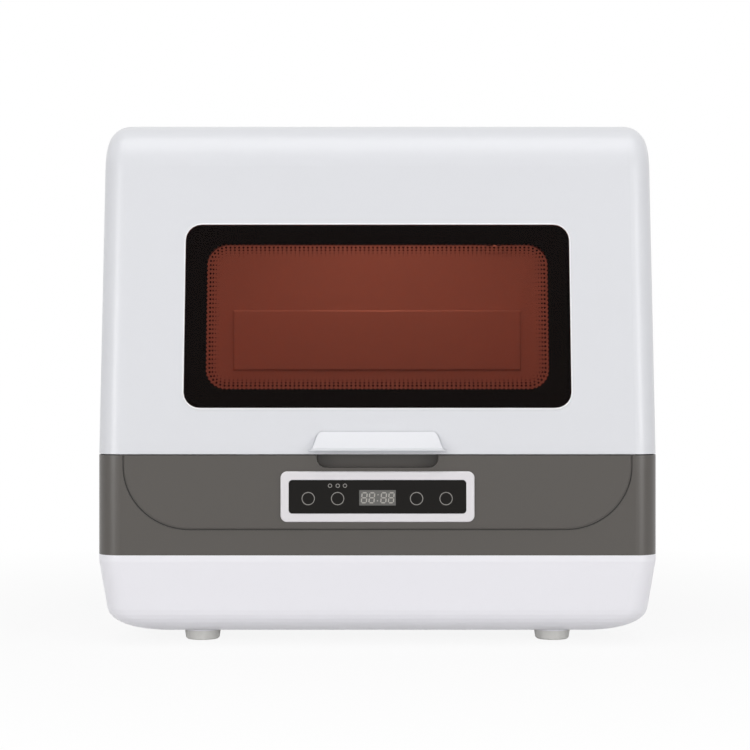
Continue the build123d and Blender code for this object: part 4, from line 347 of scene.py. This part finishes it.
def wire(route, radius, normal, sides=12, round_ends=True):
    """A round wire along a route that lies in the plane with that normal.

    Each point of the route carries the circle route + radius (cos a n + sin a b), where n is the plane's
    normal and b is square to it and to the run; a rounded end shrinks the circle as a quarter circle does.
    """
    route = np.asarray(route, float)
    radii = np.full(len(route), radius)
    if round_ends:
        swing = np.linspace(0, np.pi / 2, 4)[1:]
        first = (route[0] - route[1]) / np.linalg.norm(route[0] - route[1])
        last = (route[-1] - route[-2]) / np.linalg.norm(route[-1] - route[-2])
        head = route[0] + first * radius * np.sin(swing)[::-1, None]
        tail = route[-1] + last * radius * np.sin(swing)[:, None]
        shrink = radius * np.maximum(np.cos(swing), 1e-4)
        route = np.concatenate([head, route, tail])
        radii = np.concatenate([shrink[::-1], radii, shrink])
    run = np.gradient(route, axis=0)
    run /= np.linalg.norm(run, axis=1)[:, None]
    normal = np.broadcast_to(np.asarray(normal, float), route.shape)
    side = np.cross(run, normal)
    angle = np.arange(sides) * 2 * np.pi / sides
    circle = np.cos(angle)[None, :, None] * normal[:, None] + np.sin(angle)[None, :, None] * side[:, None]
    points = (route[:, None] + radii[:, None, None] * circle).reshape(-1, 3)
    faces = grid_faces(len(route), sides, wrap_columns=True).tolist()
    faces.append(list(range(sides)))
    faces.append(list(range(len(points) - sides, len(points))))
    return points, faces


def closed_wire(route, radius, normal, sides=12):
    """A round wire along a closed flat route: the same circles, with the last joined to the first."""
    route = np.asarray(route, float)
    run = np.roll(route, -1, axis=0) - np.roll(route, 1, axis=0)
    run /= np.linalg.norm(run, axis=1)[:, None]
    side = np.cross(run, normal)
    angle = np.arange(sides) * 2 * np.pi / sides
    circle = (np.cos(angle)[None, :, None] * np.asarray(normal, float)[None, None]
              + np.sin(angle)[None, :, None] * side[:, None])
    points = (route[:, None] + radius * circle).reshape(-1, 3)
    return points, grid_faces(len(route), sides, wrap_rows=True, wrap_columns=True)


def rounded_outline(width, height, corner, spacing=None, count=None):
    """Points round a rounded rectangle at an even spacing or of a number, and the outward direction of each.

    The outline is four straight sides and four quarter circles, walked by arc length from the middle
    of the lower side.
    """
    half_w, half_h = width / 2 - corner, height / 2 - corner
    quarter = corner * np.pi / 2
    lengths = np.array([half_w, quarter, 2 * half_h, quarter, 2 * half_w, quarter, 2 * half_h, quarter, half_w])
    total = lengths.sum()
    count = count or int(round(total / spacing))
    walk = np.arange(count) * total / count
    starts = np.concatenate([[0], np.cumsum(lengths)])
    leg = np.clip(np.searchsorted(starts, walk, side="right") - 1, 0, 8)
    along = walk - starts[leg]
    turn = (leg // 2) * np.pi / 2
    swing = np.where(leg % 2 == 1, along / corner, 0.0)
    out = turn - np.pi / 2 + swing
    outward = np.stack([np.cos(out), np.sin(out)], axis=1)
    hub_x = np.array([0, half_w, half_w, half_w, half_w, -half_w, -half_w, -half_w, -half_w])[leg]
    hub_y = np.array([-half_h, -half_h, -half_h, half_h, half_h, half_h, half_h, -half_h, -half_h])[leg]
    straight = np.where(leg % 2 == 0, along, 0.0)
    hub = np.stack([hub_x, hub_y], axis=1)
    way = np.stack([-outward[:, 1], outward[:, 0]], axis=1)
    return hub + corner * outward + straight[:, None] * way, outward


def flat_disc(centre, radius, sides=10):
    """A flat disc as one many-sided face, in the plane of its two first coordinates."""
    angle = np.arange(sides) * 2 * np.pi / sides
    ring = np.stack([np.cos(angle), np.sin(angle)], axis=1) * radius + centre
    return ring


def flat_ring(centre, outer, line, sides=48):
    """A flat ring: two circles joined by a strip of faces."""
    points = np.concatenate([flat_disc(centre, outer, sides), flat_disc(centre, outer - line, sides)])
    return points, grid_faces(2, sides, wrap_columns=True)


def thicken(flat, low, high):
    """A flat outline surface as a thin closed plate: its points at two heights, and walls round each face."""
    points, faces = flat
    count = len(points)
    stack = np.concatenate([np.column_stack([points, np.full(count, high)]),
                            np.column_stack([points, np.full(count, low)])])
    edges = {}
    for face in faces:
        for a, b in zip(face, list(face[1:]) + [face[0]]):
            edges[(min(a, b), max(a, b))] = edges.get((min(a, b), max(a, b)), 0) + 1
    walls = [(a, b, b + count, a + count) for (a, b), used in edges.items() if used == 1]
    below = [tuple(int(i) + count for i in reversed(face)) for face in faces]
    return stack, [tuple(face) for face in faces] + below + walls


# ---------------------------------------------------------------- places on the object
def window_place(points, sizes):
    """Points on the window, across, up the slope and out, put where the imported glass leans."""
    low, high = low_corner("window_outer_glass"), high_corner("window_outer_glass")
    middle = (low + high) / 2
    lean = sizes.window_lean
    across = np.array([1.0, 0.0, 0.0])
    up = np.array([0.0, math.sin(lean), math.cos(lean)])
    out = np.array([0.0, -math.cos(lean), math.sin(lean)])
    points = np.asarray(points, float)
    return middle + points[:, :1] * across + points[:, 1:2] * up + points[:, 2:3] * out


def panel_place(points, front):
    """Points on the control panel, across, up and out, put at a depth."""
    points = np.asarray(points, float)
    return np.column_stack([points[:, 0], front - points[:, 2], points[:, 1]])


# ---------------------------------------------------------------- one operator for each group
class DISHWASHER_OT_casing(bpy.types.Operator):
    """Finish the white hood, base and rear column, the grey band, the feet and the screws"""
    bl_idname = "dishwasher.casing"
    bl_label = "Casing"

    def execute(self, context):
        colours = context.scene.dishwasher_colours
        # Glossy white ABS, injection moulded: clean and bright, with a very faint waviness of about 4 mm.
        hood = moulded("white_abs_hood", colours.hood, 0.31, 0.004, 0.00002, drift=0.004)
        # The base's white is painted lighter than the hood's: the same white ABS, with the brighter light the base
        # shows painted into its colour.
        base = moulded("white_abs_base", colours.base, 0.34, 0.004, 0.00002, drift=0.004)
        dress(["hood_shell", "handle_grip", "rear_housing"], hood)
        dress(["base_shell"], base)
        dress(["control_bezel"], moulded("white_abs_bezel", linear("#DFDCDF"), 0.22, 0.004, 0.00001, drift=0.004))
        # Dark grey ABS from a spark-eroded tool: a fine satin grain, drawn 0.7 mm wide so that it shows.
        band = moulded("grey_abs_band", colours.band, 0.33, 0.0007, 0.00001, drift=0.02)
        # The groove round the raised field is 0.8 mm deep; its floor is painted with shade, darker than its own
        # shadow makes it.
        groove_floor = low_corner("base_shell")[1] + 0.0008
        dress(["mid_band"], darken(band, shade(colours.band, 0.22)[:3], [(1, groove_floor, 0.0005), (0, 0.0, 0.196)]))
        # Light grey moulded rubber: dull, with a slightly uneven skin.
        dress(["feet"], moulded("pale_rubber_feet", linear("#E2E1DD"), 0.75, 0.0012, 0.00005, drift=0.03,
                                flow=0.01))
        # Powder-coated sheet steel: a fine orange-peel about 1.5 mm wide.
        dress(["rear_cover"], moulded("powder_coated_steel", linear("#DADBDD"), 0.5, 0.0015, 0.00005, drift=0.01))
        # Zinc-plated steel, drawn and headed.
        zinc = drawn_metal("zinc_plated_steel", linear("#B8B9BC"), 0.32, "Y", 0.0006)
        dress(["foot_screws", "rear_cover_screws", "bracket_screws", "arm_rivets"], zinc)
        self.recess_shade_crosses()
        return {"FINISHED"}

    @staticmethod
    def recess_shade_crosses():
        """Painted shade for the cross recess of each rear cover screw: a dark cross of four arms laid on its flat
        head.
        """
        low, high = low_corner("rear_cover_screws"), high_corner("rear_cover_screws")
        head, arm, half = 0.0036, 0.0017, 0.00035
        cross = np.array([[arm, -half], [arm, half], [half, half], [half, arm], [-half, arm], [-half, half],
                          [-arm, half], [-arm, -half], [-half, -half], [-half, -arm], [half, -arm],
                          [half, -half]])
        marks = []
        for x in (low[0] + head, high[0] - head):
            for z in (low[2] + head, (low[2] + high[2]) / 2, high[2] - head):
                marks.append(thicken((cross + (x, z), [tuple(range(12))]), 0.00002, 0.00006))
        points, faces = join_surfaces(marks)
        placed = np.column_stack([points[:, 0], high[1] + points[:, 2], points[:, 1]])
        # Painted shade of the recess: zinc drawn dark and dull.
        shadow = drawn_metal("painted_recess_shade", linear("#3C3C3E"), 0.6, "X", 0.0004)
        make_piece("screw_recess_shades", (placed, faces), shadow, "base", smooth=False)


class DISHWASHER_OT_window(bpy.types.Operator):
    """Glaze the hood: smoked outer glass, clear inner glass, black ceramic print with its dots, and a white ring
    round the glass that paints the highlight on its edge
    """
    bl_idname = "dishwasher.window"
    bl_label = "Window"

    def execute(self, context):
        sizes = context.scene.dishwasher_sizes
        colours = context.scene.dishwasher_colours
        dress(["window_outer_glass"], clear_pane("smoked_safety_glass", colours.smoke, 0.13))
        dress(["window_inner_glass"], clear_pane("clear_safety_glass", (0.97, 0.96, 0.96), 0.03))
        # Black glass-filled nylon, moulded: dark and a little dull.
        dress(["window_frame"], moulded("black_nylon_frame", linear("#141210"), 0.5, 0.0009, 0.00004, drift=0.1))
        # Black ceramic enamel fired into the back of the glass: even, dense and slightly matt.
        enamel = moulded("black_ceramic_enamel", linear("#070707"), 0.5, 0.0008, 0.00001, drift=0.05,
                         Specular_IOR_Level=0.0)
        glass_half = 0.0015
        behind = (-glass_half + 0.00004, -glass_half + 0.00012)

        spacing = sizes.dot_pitch / 8
        inner, outward = rounded_outline(sizes.clear_width, sizes.clear_height, sizes.clear_corner, spacing)
        columns = int(round(len(inner) / 8))
        wave = np.cos(np.arange(len(inner)) * 2 * np.pi * columns / len(inner))
        scallop = 0.0005
        inner = inner - outward * (scallop * wave)[:, None]
        low, high = low_corner("window_outer_glass"), high_corner("window_outer_glass")
        slope_height = (high[2] - low[2] - 2 * glass_half * math.sin(sizes.window_lean)) / math.cos(sizes.window_lean)
        outer, _ = rounded_outline(high[0] - low[0] - 0.0006, slope_height - 0.0006, 0.0122, count=len(inner))
        border = np.concatenate([inner, outer]), grid_faces(2, len(inner), wrap_columns=True).tolist()
        points, faces = thicken(border, *behind)
        plates = [(points, faces)]
        for row, radius in enumerate((0.00085, 0.00068, 0.00045, 0.00026)):
            inset = 0.0012 + sizes.dot_row_pitch * (row + 0.6)
            places, _ = rounded_outline(
                sizes.clear_width - 2 * inset, sizes.clear_height - 2 * inset,
                max(sizes.clear_corner - inset, 0.004), sizes.dot_pitch)
            dots = np.concatenate([flat_disc(place, radius, 8) for place in places])
            discs = np.arange(len(dots)).reshape(-1, 8).tolist()
            plates.append(thicken((dots, discs), *behind))
        points, faces = join_surfaces(plates)
        make_piece("window_print", (window_place(points, sizes), faces), enamel, "hood",
                   smooth=False)

        # Painted highlight on the glass's edge: a thin white ring round the glass, soft and slightly shiny.
        route, _ = rounded_outline(high[0] - low[0] + 0.0009, slope_height + 0.0009, 0.0129, 0.004)
        flat = np.column_stack([route, np.full(len(route), glass_half - 0.0004)])
        placed = window_place(flat, sizes)
        lean = sizes.window_lean
        highlight_ring = closed_wire(placed, 0.0006, (0.0, -math.cos(lean), math.sin(lean)), 10)
        highlight_paint = moulded("painted_edge_highlight", linear("#F4F4F6"), 0.3, 0.002, 0.00001, drift=0.005)
        make_piece("window_edge_highlight", highlight_ring, highlight_paint, "hood")
        return {"FINISHED"}


class DISHWASHER_OT_controls(bpy.types.Operator):
    """Print the touch rings and indicators on the black panel and paint the glow of the display's lit digits"""
    bl_idname = "dishwasher.controls"
    bl_label = "Controls"

    def execute(self, context):
        sizes = context.scene.dishwasher_sizes
        # Black acrylic sheet, cast and cut: deep and glossy.
        dress(["control_glass"], moulded("black_acrylic", linear("#171513"), 0.12, 0.02, 0.000005, drift=0.05,
                                         Specular_IOR_Level=0.14))
        front = low_corner("control_glass")[1]
        skin = (0.00002, 0.0001)
        keys = (-0.0528, -0.0304, 0.0298, 0.0523)
        key_height = 0.1136
        rings = [thicken(flat_ring((x, key_height), sizes.key_ring, sizes.ring_line), *skin) for x in keys]
        lamps = [thicken(flat_ring((x, 0.1234), 0.0016, 0.0005, 20), *skin)
                 for x in (-0.0362, -0.0303, -0.0248)]
        # Grey screen print, matt.
        print_grey = moulded("grey_screen_print", linear("#8F8C88"), 0.6, 0.0005, 0.000002, drift=0.05)
        points, faces = join_surfaces(rings + lamps)
        make_piece("key_rings", (panel_place(points, front), faces), print_grey, "base",
                   smooth=False)

        middle = (0.0, 0.1142)
        half_w, half_h = 0.0139, 0.00585
        corners = np.array([[-half_w, -half_h], [half_w, -half_h], [half_w, half_h], [-half_w, half_h]]) + middle
        field = thicken((corners, [(0, 1, 2, 3)]), 0.00001, 0.00004)
        # The display's diffuser, a grey filter film.
        film = moulded("grey_filter_film", linear("#5E5D5A"), 0.5, 0.0005, 0.000002, drift=0.08, flow=0.006)
        make_piece("display_field", (panel_place(field[0], front), field[1]), film, "base",
                   smooth=False)
        # Display segments lit from behind, with their glow painted as an even, matt pale grey.
        lit = moulded("painted_glow_segments", linear("#AAA7A1"), 0.6, 0.0005, 0.000002, drift=0.03)
        points, faces = join_surfaces(self.digits(sizes, middle, (0.00004, 0.0001)))
        make_piece("display_digits", (panel_place(points, front), faces), lit, "base",
                   smooth=False)
        return {"FINISHED"}

    @staticmethod
    def digits(sizes, middle, skin):
        """Four slanted figures of seven bars each and two dots; a bar is a stretched hexagon."""
        w, h, t = sizes.digit_width, sizes.digit_height, 0.0009
        lean = 0.09
        bars = []
        reach = w - 1.6 * t
        flat_bar = np.array([[-reach / 2, 0], [-reach / 2 + t / 2, t / 2], [reach / 2 - t / 2, t / 2],
                             [reach / 2, 0], [reach / 2 - t / 2, -t / 2], [-reach / 2 + t / 2, -t / 2]])
        tall = h / 2 - 1.2 * t
        upright = np.array([[0, -tall / 2], [t / 2, -tall / 2 + t / 2], [t / 2, tall / 2 - t / 2],
                            [0, tall / 2], [-t / 2, tall / 2 - t / 2], [-t / 2, -tall / 2 + t / 2]])
        side = (w - t) / 2
        level = (h - t) / 2
        for x in (-0.0101, -0.0043, 0.0047, 0.0105):
            for z in (-level, 0.0, level):
                bars.append(flat_bar + (x, z))
            for bar_x in (-side, side):
                for z in (-level / 2, level / 2):
                    bars.append(upright + (x + bar_x, z))
        for z in (-0.0023, 0.0023):
            bars.append(flat_disc((0.0002, z), 0.0005, 6))
        plates = []
        for bar in bars:
            slanted = bar + np.column_stack([bar[:, 1] * lean, np.zeros(len(bar))]) + middle
            plates.append(thicken((slanted, [tuple(range(len(bar)))]), *skin))
        return plates


class DISHWASHER_OT_chamber(bpy.types.Operator):
    """Finish the wash chamber, its seals, lamp, heater, sump and the parts under the floor"""
    bl_idname = "dishwasher.chamber"
    bl_label = "Wash chamber"

    def execute(self, context):
        # Warm grey polypropylene, moulded: satin, with a fine even grain.
        liner = moulded("grey_polypropylene_liner", linear("#DAD7D4"), 0.45, 0.0012, 0.00003, drift=0.02)
        dress(["inner_tub", "hood_liner", "back_panel", "air_grille"], liner)
        # Black rubber seals: dull.
        dress(["rim_seal", "back_seal", "cord_gland"],
              moulded("black_rubber_seal", linear("#1E1D1C"), 0.7, 0.001, 0.00004, drift=0.08, flow=0.02))
        dress(["wash_duct", "drain_hose", "inlet_tube"],
              moulded("black_hose_rubber", linear("#222120"), 0.6, 0.0008, 0.00004, drift=0.08, flow=0.02))
        dress(["sump_bowl", "riser_pipe"],
              moulded("mid_grey_polypropylene", linear("#8C8A87"), 0.5, 0.001, 0.00003, drift=0.03))
        dress(["wash_pump", "drain_pump", "fan_housing", "fan_impeller", "door_switch"],
              moulded("black_glass_filled_nylon", linear("#232322"), 0.55, 0.0008, 0.00004, drift=0.1, flow=0.03))
        dress(["drain_outlet", "switch_plunger", "hinge_bushes"],
              moulded("natural_nylon", linear("#D8D7D1"), 0.5, 0.001, 0.00003, drift=0.03, flow=0.03))
        # The same nylon, with the hose thread's ridges of 1.8 mm pitch on the spigot behind the casing.
        threaded = moulded("natural_nylon_threaded", linear("#D8D7D1"), 0.45, 0.001, 0.00003, drift=0.03,
                           flow=0.03)
        collar = high_corner("rear_cover")[1] + 0.0004
        dress(["inlet_valve"], add_relief(threaded, [(1, (0, 0, 0), 0.0018)], 0.0009, past=(1, collar)))
        # Glass-epoxy circuit board: green lacquer over a close mesh of tracks about 1.2 mm wide.
        dress(["control_board", "main_board", "lamp_board"],
              moulded("green_circuit_board", linear("#2E5A3C"), 0.35, 0.0012, 0.00008, drift=0.3, flow=0.004))
        dress(["display_module"], moulded("display_case", linear("#3A3A39"), 0.4, 0.001, 0.00002, drift=0.05))
        # Stainless steel: rolled for the filter plate, drawn for the heater, stamped for the hinge.
        dress(["filter_plate"], drawn_metal("rolled_stainless_steel", linear("#BBB9B5"), 0.28, "X", 0.0008))
        dress(["heater_ring"], drawn_metal("heater_tube_steel", linear("#8C8781"), 0.35, "Z", 0.0008))
        dress(["hinge_brackets", "hinge_pins", "hinge_arms", "latch_clips", "latch_strikers", "touch_pads"],
              drawn_metal("zinc_plated_strip", linear("#B6B7BA"), 0.3, "Z", 0.0007))
        # Clear polycarbonate lens over white diodes: it glows evenly.
        dress(["lamp_lens"], moulded("lamp_lens_glow", linear("#F6F2EC"), 0.3, 0.003, 0.00005, drift=0.01,
                                     Emission_Color=(1.0, 0.97, 0.94, 1.0), Emission_Strength=22.0))
        return {"FINISHED"}


class DISHWASHER_OT_basket(bpy.types.Operator):
    """Make the coated wires of the dish basket round and finish the baskets, spray arm and filter"""
    bl_idname = "dishwasher.basket"
    bl_label = "Baskets"

    def execute(self, context):
        sizes = context.scene.dishwasher_sizes
        # Nylon-coated steel wire, dipped: smooth, satin, with a slow unevenness of about 3 mm.
        coat = moulded("grey_nylon_coating", linear("#A9ABAE"), 0.35, 0.003, 0.00006, drift=0.03, flow=0.02)
        radius = sizes.wire_radius
        bend = 0.008
        low, high = low_corner("basket_long_wires"), high_corner("basket_long_wires")
        left, right = low[0] + radius, high[0] - radius
        floor, top = low[2] + radius, high[2]
        rows = np.linspace(low[1] + radius, high[1] - radius, 7)
        route = rounded_route([(left, 0, top), (left, 0, floor), (right, 0, floor), (right, 0, top)], bend)
        wires = [wire(route + (0, y, 0), radius, (0, 1, 0)) for y in rows]
        self.piece("basket_long_wires", wires, coat)

        low, high = low_corner("basket_cross_wires"), high_corner("basket_cross_wires")
        near, far = low[1] + radius, high[1] - radius
        floor, top = low[2] + radius, high[2]
        columns = np.linspace(low[0] + radius, high[0] - radius, 8)
        route = rounded_route([(0, near, top), (0, near, floor), (0, far, floor), (0, far, top)], bend)
        wires = [wire(route + (x, 0, 0), radius, (1, 0, 0)) for x in columns]
        tines_low, tines_high = low_corner("basket_tines"), high_corner("basket_tines")
        rail_height = tines_low[2] - radius - 0.0001
        lean_run = math.tan(math.radians(6.0)) * (tines_high[2] - tines_low[2])
        first = tines_low[1] + radius
        last = tines_high[1] - radius - lean_run
        combs = (-0.112, -0.062, 0.008, 0.058)
        for x in combs:
            rail = [(x, first - 0.006, rail_height), (x, last + 0.006, rail_height)]
            wires.append(wire(rail, radius, (1, 0, 0)))
        self.piece("basket_cross_wires", wires, coat)

        tines = []
        for x in combs:
            for y in np.linspace(first, last, 7):
                foot = np.array([x, y, tines_low[2]])
                tip = np.array([x, y + lean_run, tines_high[2] - radius])
                tines.append(wire([foot, tip], radius, (1, 0, 0)))
        self.piece("basket_tines", tines, coat)

        rim_r = sizes.rim_radius
        low, high = low_corner("basket_rim"), high_corner("basket_rim")
        loops = []
        for height in (high[2] - rim_r, low[2] + rim_r):
            flat, _ = rounded_outline(high[0] - low[0] - 2 * rim_r, high[1] - low[1] - 2 * rim_r, 0.020, 0.006)
            centre = ((low + high) / 2)[:2]
            route = np.column_stack([flat + centre, np.full(len(flat), height)])
            loops.append(closed_wire(route, rim_r, (0.0, 0.0, 1.0)))
        self.piece("basket_rim", loops, coat)
        # Grey polypropylene, moulded.
        dress(["basket_feet", "cutlery_basket", "spray_arm", "spray_arm_cap"],
              moulded("grey_polypropylene", linear("#84868A"), 0.42, 0.0012, 0.00003, drift=0.02))
        dress(["micro_filter"],
              moulded("dark_grey_polypropylene", linear("#54575B"), 0.45, 0.001, 0.00003, drift=0.04))
        self.sleeve()
        return {"FINISHED"}

    @staticmethod
    def sleeve():
        """The fine steel mesh inside the removable filter: a thin tube r = 24.3 mm round its axis."""
        low, high = low_corner("micro_filter"), high_corner("micro_filter")
        centre = (low + high) / 2
        outer, inner = 0.0243, 0.0240
        bottom, top = low[2] + 0.0022, low[2] + 0.0240
        rings = []
        for radius, height in ((outer, bottom), (outer, top), (inner, top), (inner, bottom)):
            ring = flat_disc(centre[:2], radius, 64)
            rings.append(np.column_stack([ring, np.full(64, height)]))
        tube = np.concatenate(rings), grid_faces(4, 64, wrap_rows=True, wrap_columns=True)
        # Woven stainless steel wire, a strand each 1.2 mm so that the weave shows.
        woven = drawn_metal("woven_stainless_mesh", linear("#A9A7A3"), 0.35, "Z", 0.0008)
        weave = [("round", centre, 2 * math.pi / 128), (2, centre, 0.0012)]
        make_piece("filter_mesh", tube, add_relief(woven, weave, 0.0006), "filter")

    @staticmethod
    def piece(node, wires, coat):
        """One mesh for all the wires of a node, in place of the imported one."""
        made = make_piece(node + "_round", join_surfaces(wires), coat, "basket")
        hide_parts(node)


class DISHWASHER_OT_stage(bpy.types.Operator):
    """Set the pale studio, its lamps and the camera"""
    bl_idname = "dishwasher.stage"
    bl_label = "Stage"

    def execute(self, context):
        scene = context.scene
        scene.view_settings.view_transform = "Standard"
        self.world(scene)
        self.floor(scene)
        self.lamp("top_lamp", (0.0, -0.6, 2.2), (0, 0, 0), (2.4, 1.3), 20.0)
        self.lamp("left_lamp", (-1.25, -1.5, 0.5), (84, 0, -40), (0.65, 1.05), 9.5)
        self.lamp("right_lamp", (1.25, -1.5, 0.5), (84, 0, 40), (0.65, 1.05), 9.5)
        self.lamp("front_fill", (0.0, -2.8, 0.5), (84, 0, 0), (2.0, 1.0), 5.0, mirrored=False)
        self.lamp("chamber_lamp", (0.0, -0.02, 0.372), (0, 0, 0), (0.3, 0.2), 0.19, mirrored=False)
        camera_data = bpy.data.cameras.new("studio_camera")
        camera_data.lens = 88.0
        camera_data.sensor_width = 36.0
        camera = bpy.data.objects.new("studio_camera", camera_data)
        camera.location = (-0.0019, -1.599, 0.2078)
        camera.rotation_euler = (math.radians(90), 0, 0)
        scene.collection.objects.link(camera)
        scene.camera = camera
        return {"FINISHED"}

    @staticmethod
    def world(scene):
        """White where the camera or a mirror sees it, and a soft even light on the object."""
        world = bpy.data.worlds.new("studio_air")
        world.use_nodes = True
        tree = world.node_tree
        tree.nodes.clear()
        path = add_node(tree, "ShaderNodeLightPath")
        seen = add_node(tree, "ShaderNodeMath", {"operation": "MAXIMUM"},
                        {0: path.outputs["Is Camera Ray"], 1: path.outputs["Is Transmission Ray"]})
        mirrored = add_node(tree, "ShaderNodeMath", {"operation": "MAXIMUM"},
                            {0: seen.outputs["Value"], 1: path.outputs["Is Glossy Ray"]})
        strength = add_node(tree, "ShaderNodeMapRange", {"To Min": 0.34, "To Max": 1.0},
                            {"Value": mirrored.outputs["Value"]})
        light = add_node(tree, "ShaderNodeBackground", {"Color": (1.0, 1.0, 1.0, 1.0)},
                         {"Strength": strength.outputs["Result"]})
        add_node(tree, "ShaderNodeOutputWorld", links={"Surface": light.outputs["Background"]})
        scene.world = world

    @staticmethod
    def floor(scene):
        """A pale floor that shows the object's shadow, and turns pure white half a metre from it."""
        half = 6.0
        points = np.array([[-half, -half, 0], [half, -half, 0], [half, half, 0], [-half, half, 0]], float)
        mesh = bpy.data.meshes.new("studio_floor")
        mesh.from_pydata(points.tolist(), [], [(0, 1, 2, 3)])
        floor = bpy.data.objects.new("studio_floor", mesh)
        scene.collection.objects.link(floor)
        material, tree, shader, coords = new_finish("pale_floor_paint")
        shader.inputs["Base Color"].default_value = (0.75, 0.75, 0.75, 1.0)
        shader.inputs["Roughness"].default_value = 0.9
        shader.inputs["Specular IOR Level"].default_value = 0.1
        path = add_node(tree, "ShaderNodeLightPath")
        glow = add_node(tree, "ShaderNodeEmission", {"Color": (1.0, 1.0, 1.0, 1.0), "Strength": 1.0})
        seen = add_node(tree, "ShaderNodeMath", {"operation": "MAXIMUM"},
                        {0: path.outputs["Is Camera Ray"], 1: path.outputs["Is Transmission Ray"]})
        mirrored = add_node(tree, "ShaderNodeMath", {"operation": "MAXIMUM"},
                            {0: seen.outputs["Value"], 1: path.outputs["Is Glossy Ray"]})
        distance = add_node(tree, "ShaderNodeVectorMath", {"operation": "LENGTH"}, {0: coords})
        white = add_node(tree, "ShaderNodeMapRange",
                         {"From Min": 0.25, "From Max": 0.7, "To Min": 0.9, "To Max": 1.0},
                         {"Value": distance.outputs["Value"]})
        share = add_node(tree, "ShaderNodeMath", {"operation": "MULTIPLY"},
                         {0: mirrored.outputs["Value"], 1: white.outputs["Result"]})
        mix = add_node(tree, "ShaderNodeMixShader", links={0: share.outputs["Value"], 1: shader.outputs["BSDF"],
                                                           2: glow.outputs["Emission"]})
        output = [node for node in tree.nodes if node.type == "OUTPUT_MATERIAL"][0]
        tree.links.new(mix.outputs["Shader"], output.inputs["Surface"])
        mesh.materials.append(material)

    @staticmethod
    def lamp(name, place, turn, size, power, mirrored=True):
        """One soft rectangular lamp, seen in glossy surfaces or not."""
        data = bpy.data.lights.new(name, "AREA")
        data.shape = "RECTANGLE"
        data.size, data.size_y = size
        data.energy = power
        lamp = bpy.data.objects.new(name, data)
        lamp.location = place
        lamp.rotation_euler = [math.radians(angle) for angle in turn]
        lamp.visible_glossy = mirrored
        lamp.visible_camera = False
        lamp.visible_transmission = False
        bpy.context.scene.collection.objects.link(lamp)


class DISHWASHER_PT_panel(bpy.types.Panel):
    """The dishwasher's steps, sizes and colours"""
    bl_idname = "DISHWASHER_PT_panel"
    bl_label = "Dishwasher"
    bl_space_type = "VIEW_3D"
    bl_region_type = "UI"
    bl_category = "Dishwasher"

    def draw(self, context):
        layout = self.layout
        for step in STEPS:
            layout.operator(step.bl_idname)
        for group in (context.scene.dishwasher_sizes, context.scene.dishwasher_colours):
            box = layout.box()
            for name in group.bl_rna.properties.keys():
                if name not in ("rna_type", "name"):
                    box.prop(group, name)


STEPS = (DISHWASHER_OT_casing, DISHWASHER_OT_window, DISHWASHER_OT_controls, DISHWASHER_OT_chamber,
         DISHWASHER_OT_basket, DISHWASHER_OT_stage)
CLASSES = (DishwasherSizes, DishwasherColours, *STEPS, DISHWASHER_PT_panel)


def register():
    for some_class in CLASSES:
        bpy.utils.register_class(some_class)
    bpy.types.Scene.dishwasher_sizes = bpy.props.PointerProperty(type=DishwasherSizes)
    bpy.types.Scene.dishwasher_colours = bpy.props.PointerProperty(type=DishwasherColours)


def unregister():
    del bpy.types.Scene.dishwasher_sizes
    del bpy.types.Scene.dishwasher_colours
    for some_class in reversed(CLASSES):
        bpy.utils.unregister_class(some_class)


def main():
    register()
    for step in STEPS:
        group, name = step.bl_idname.split(".")
        getattr(getattr(bpy.ops, group), name)()


if __name__ == "__main__":
    main()
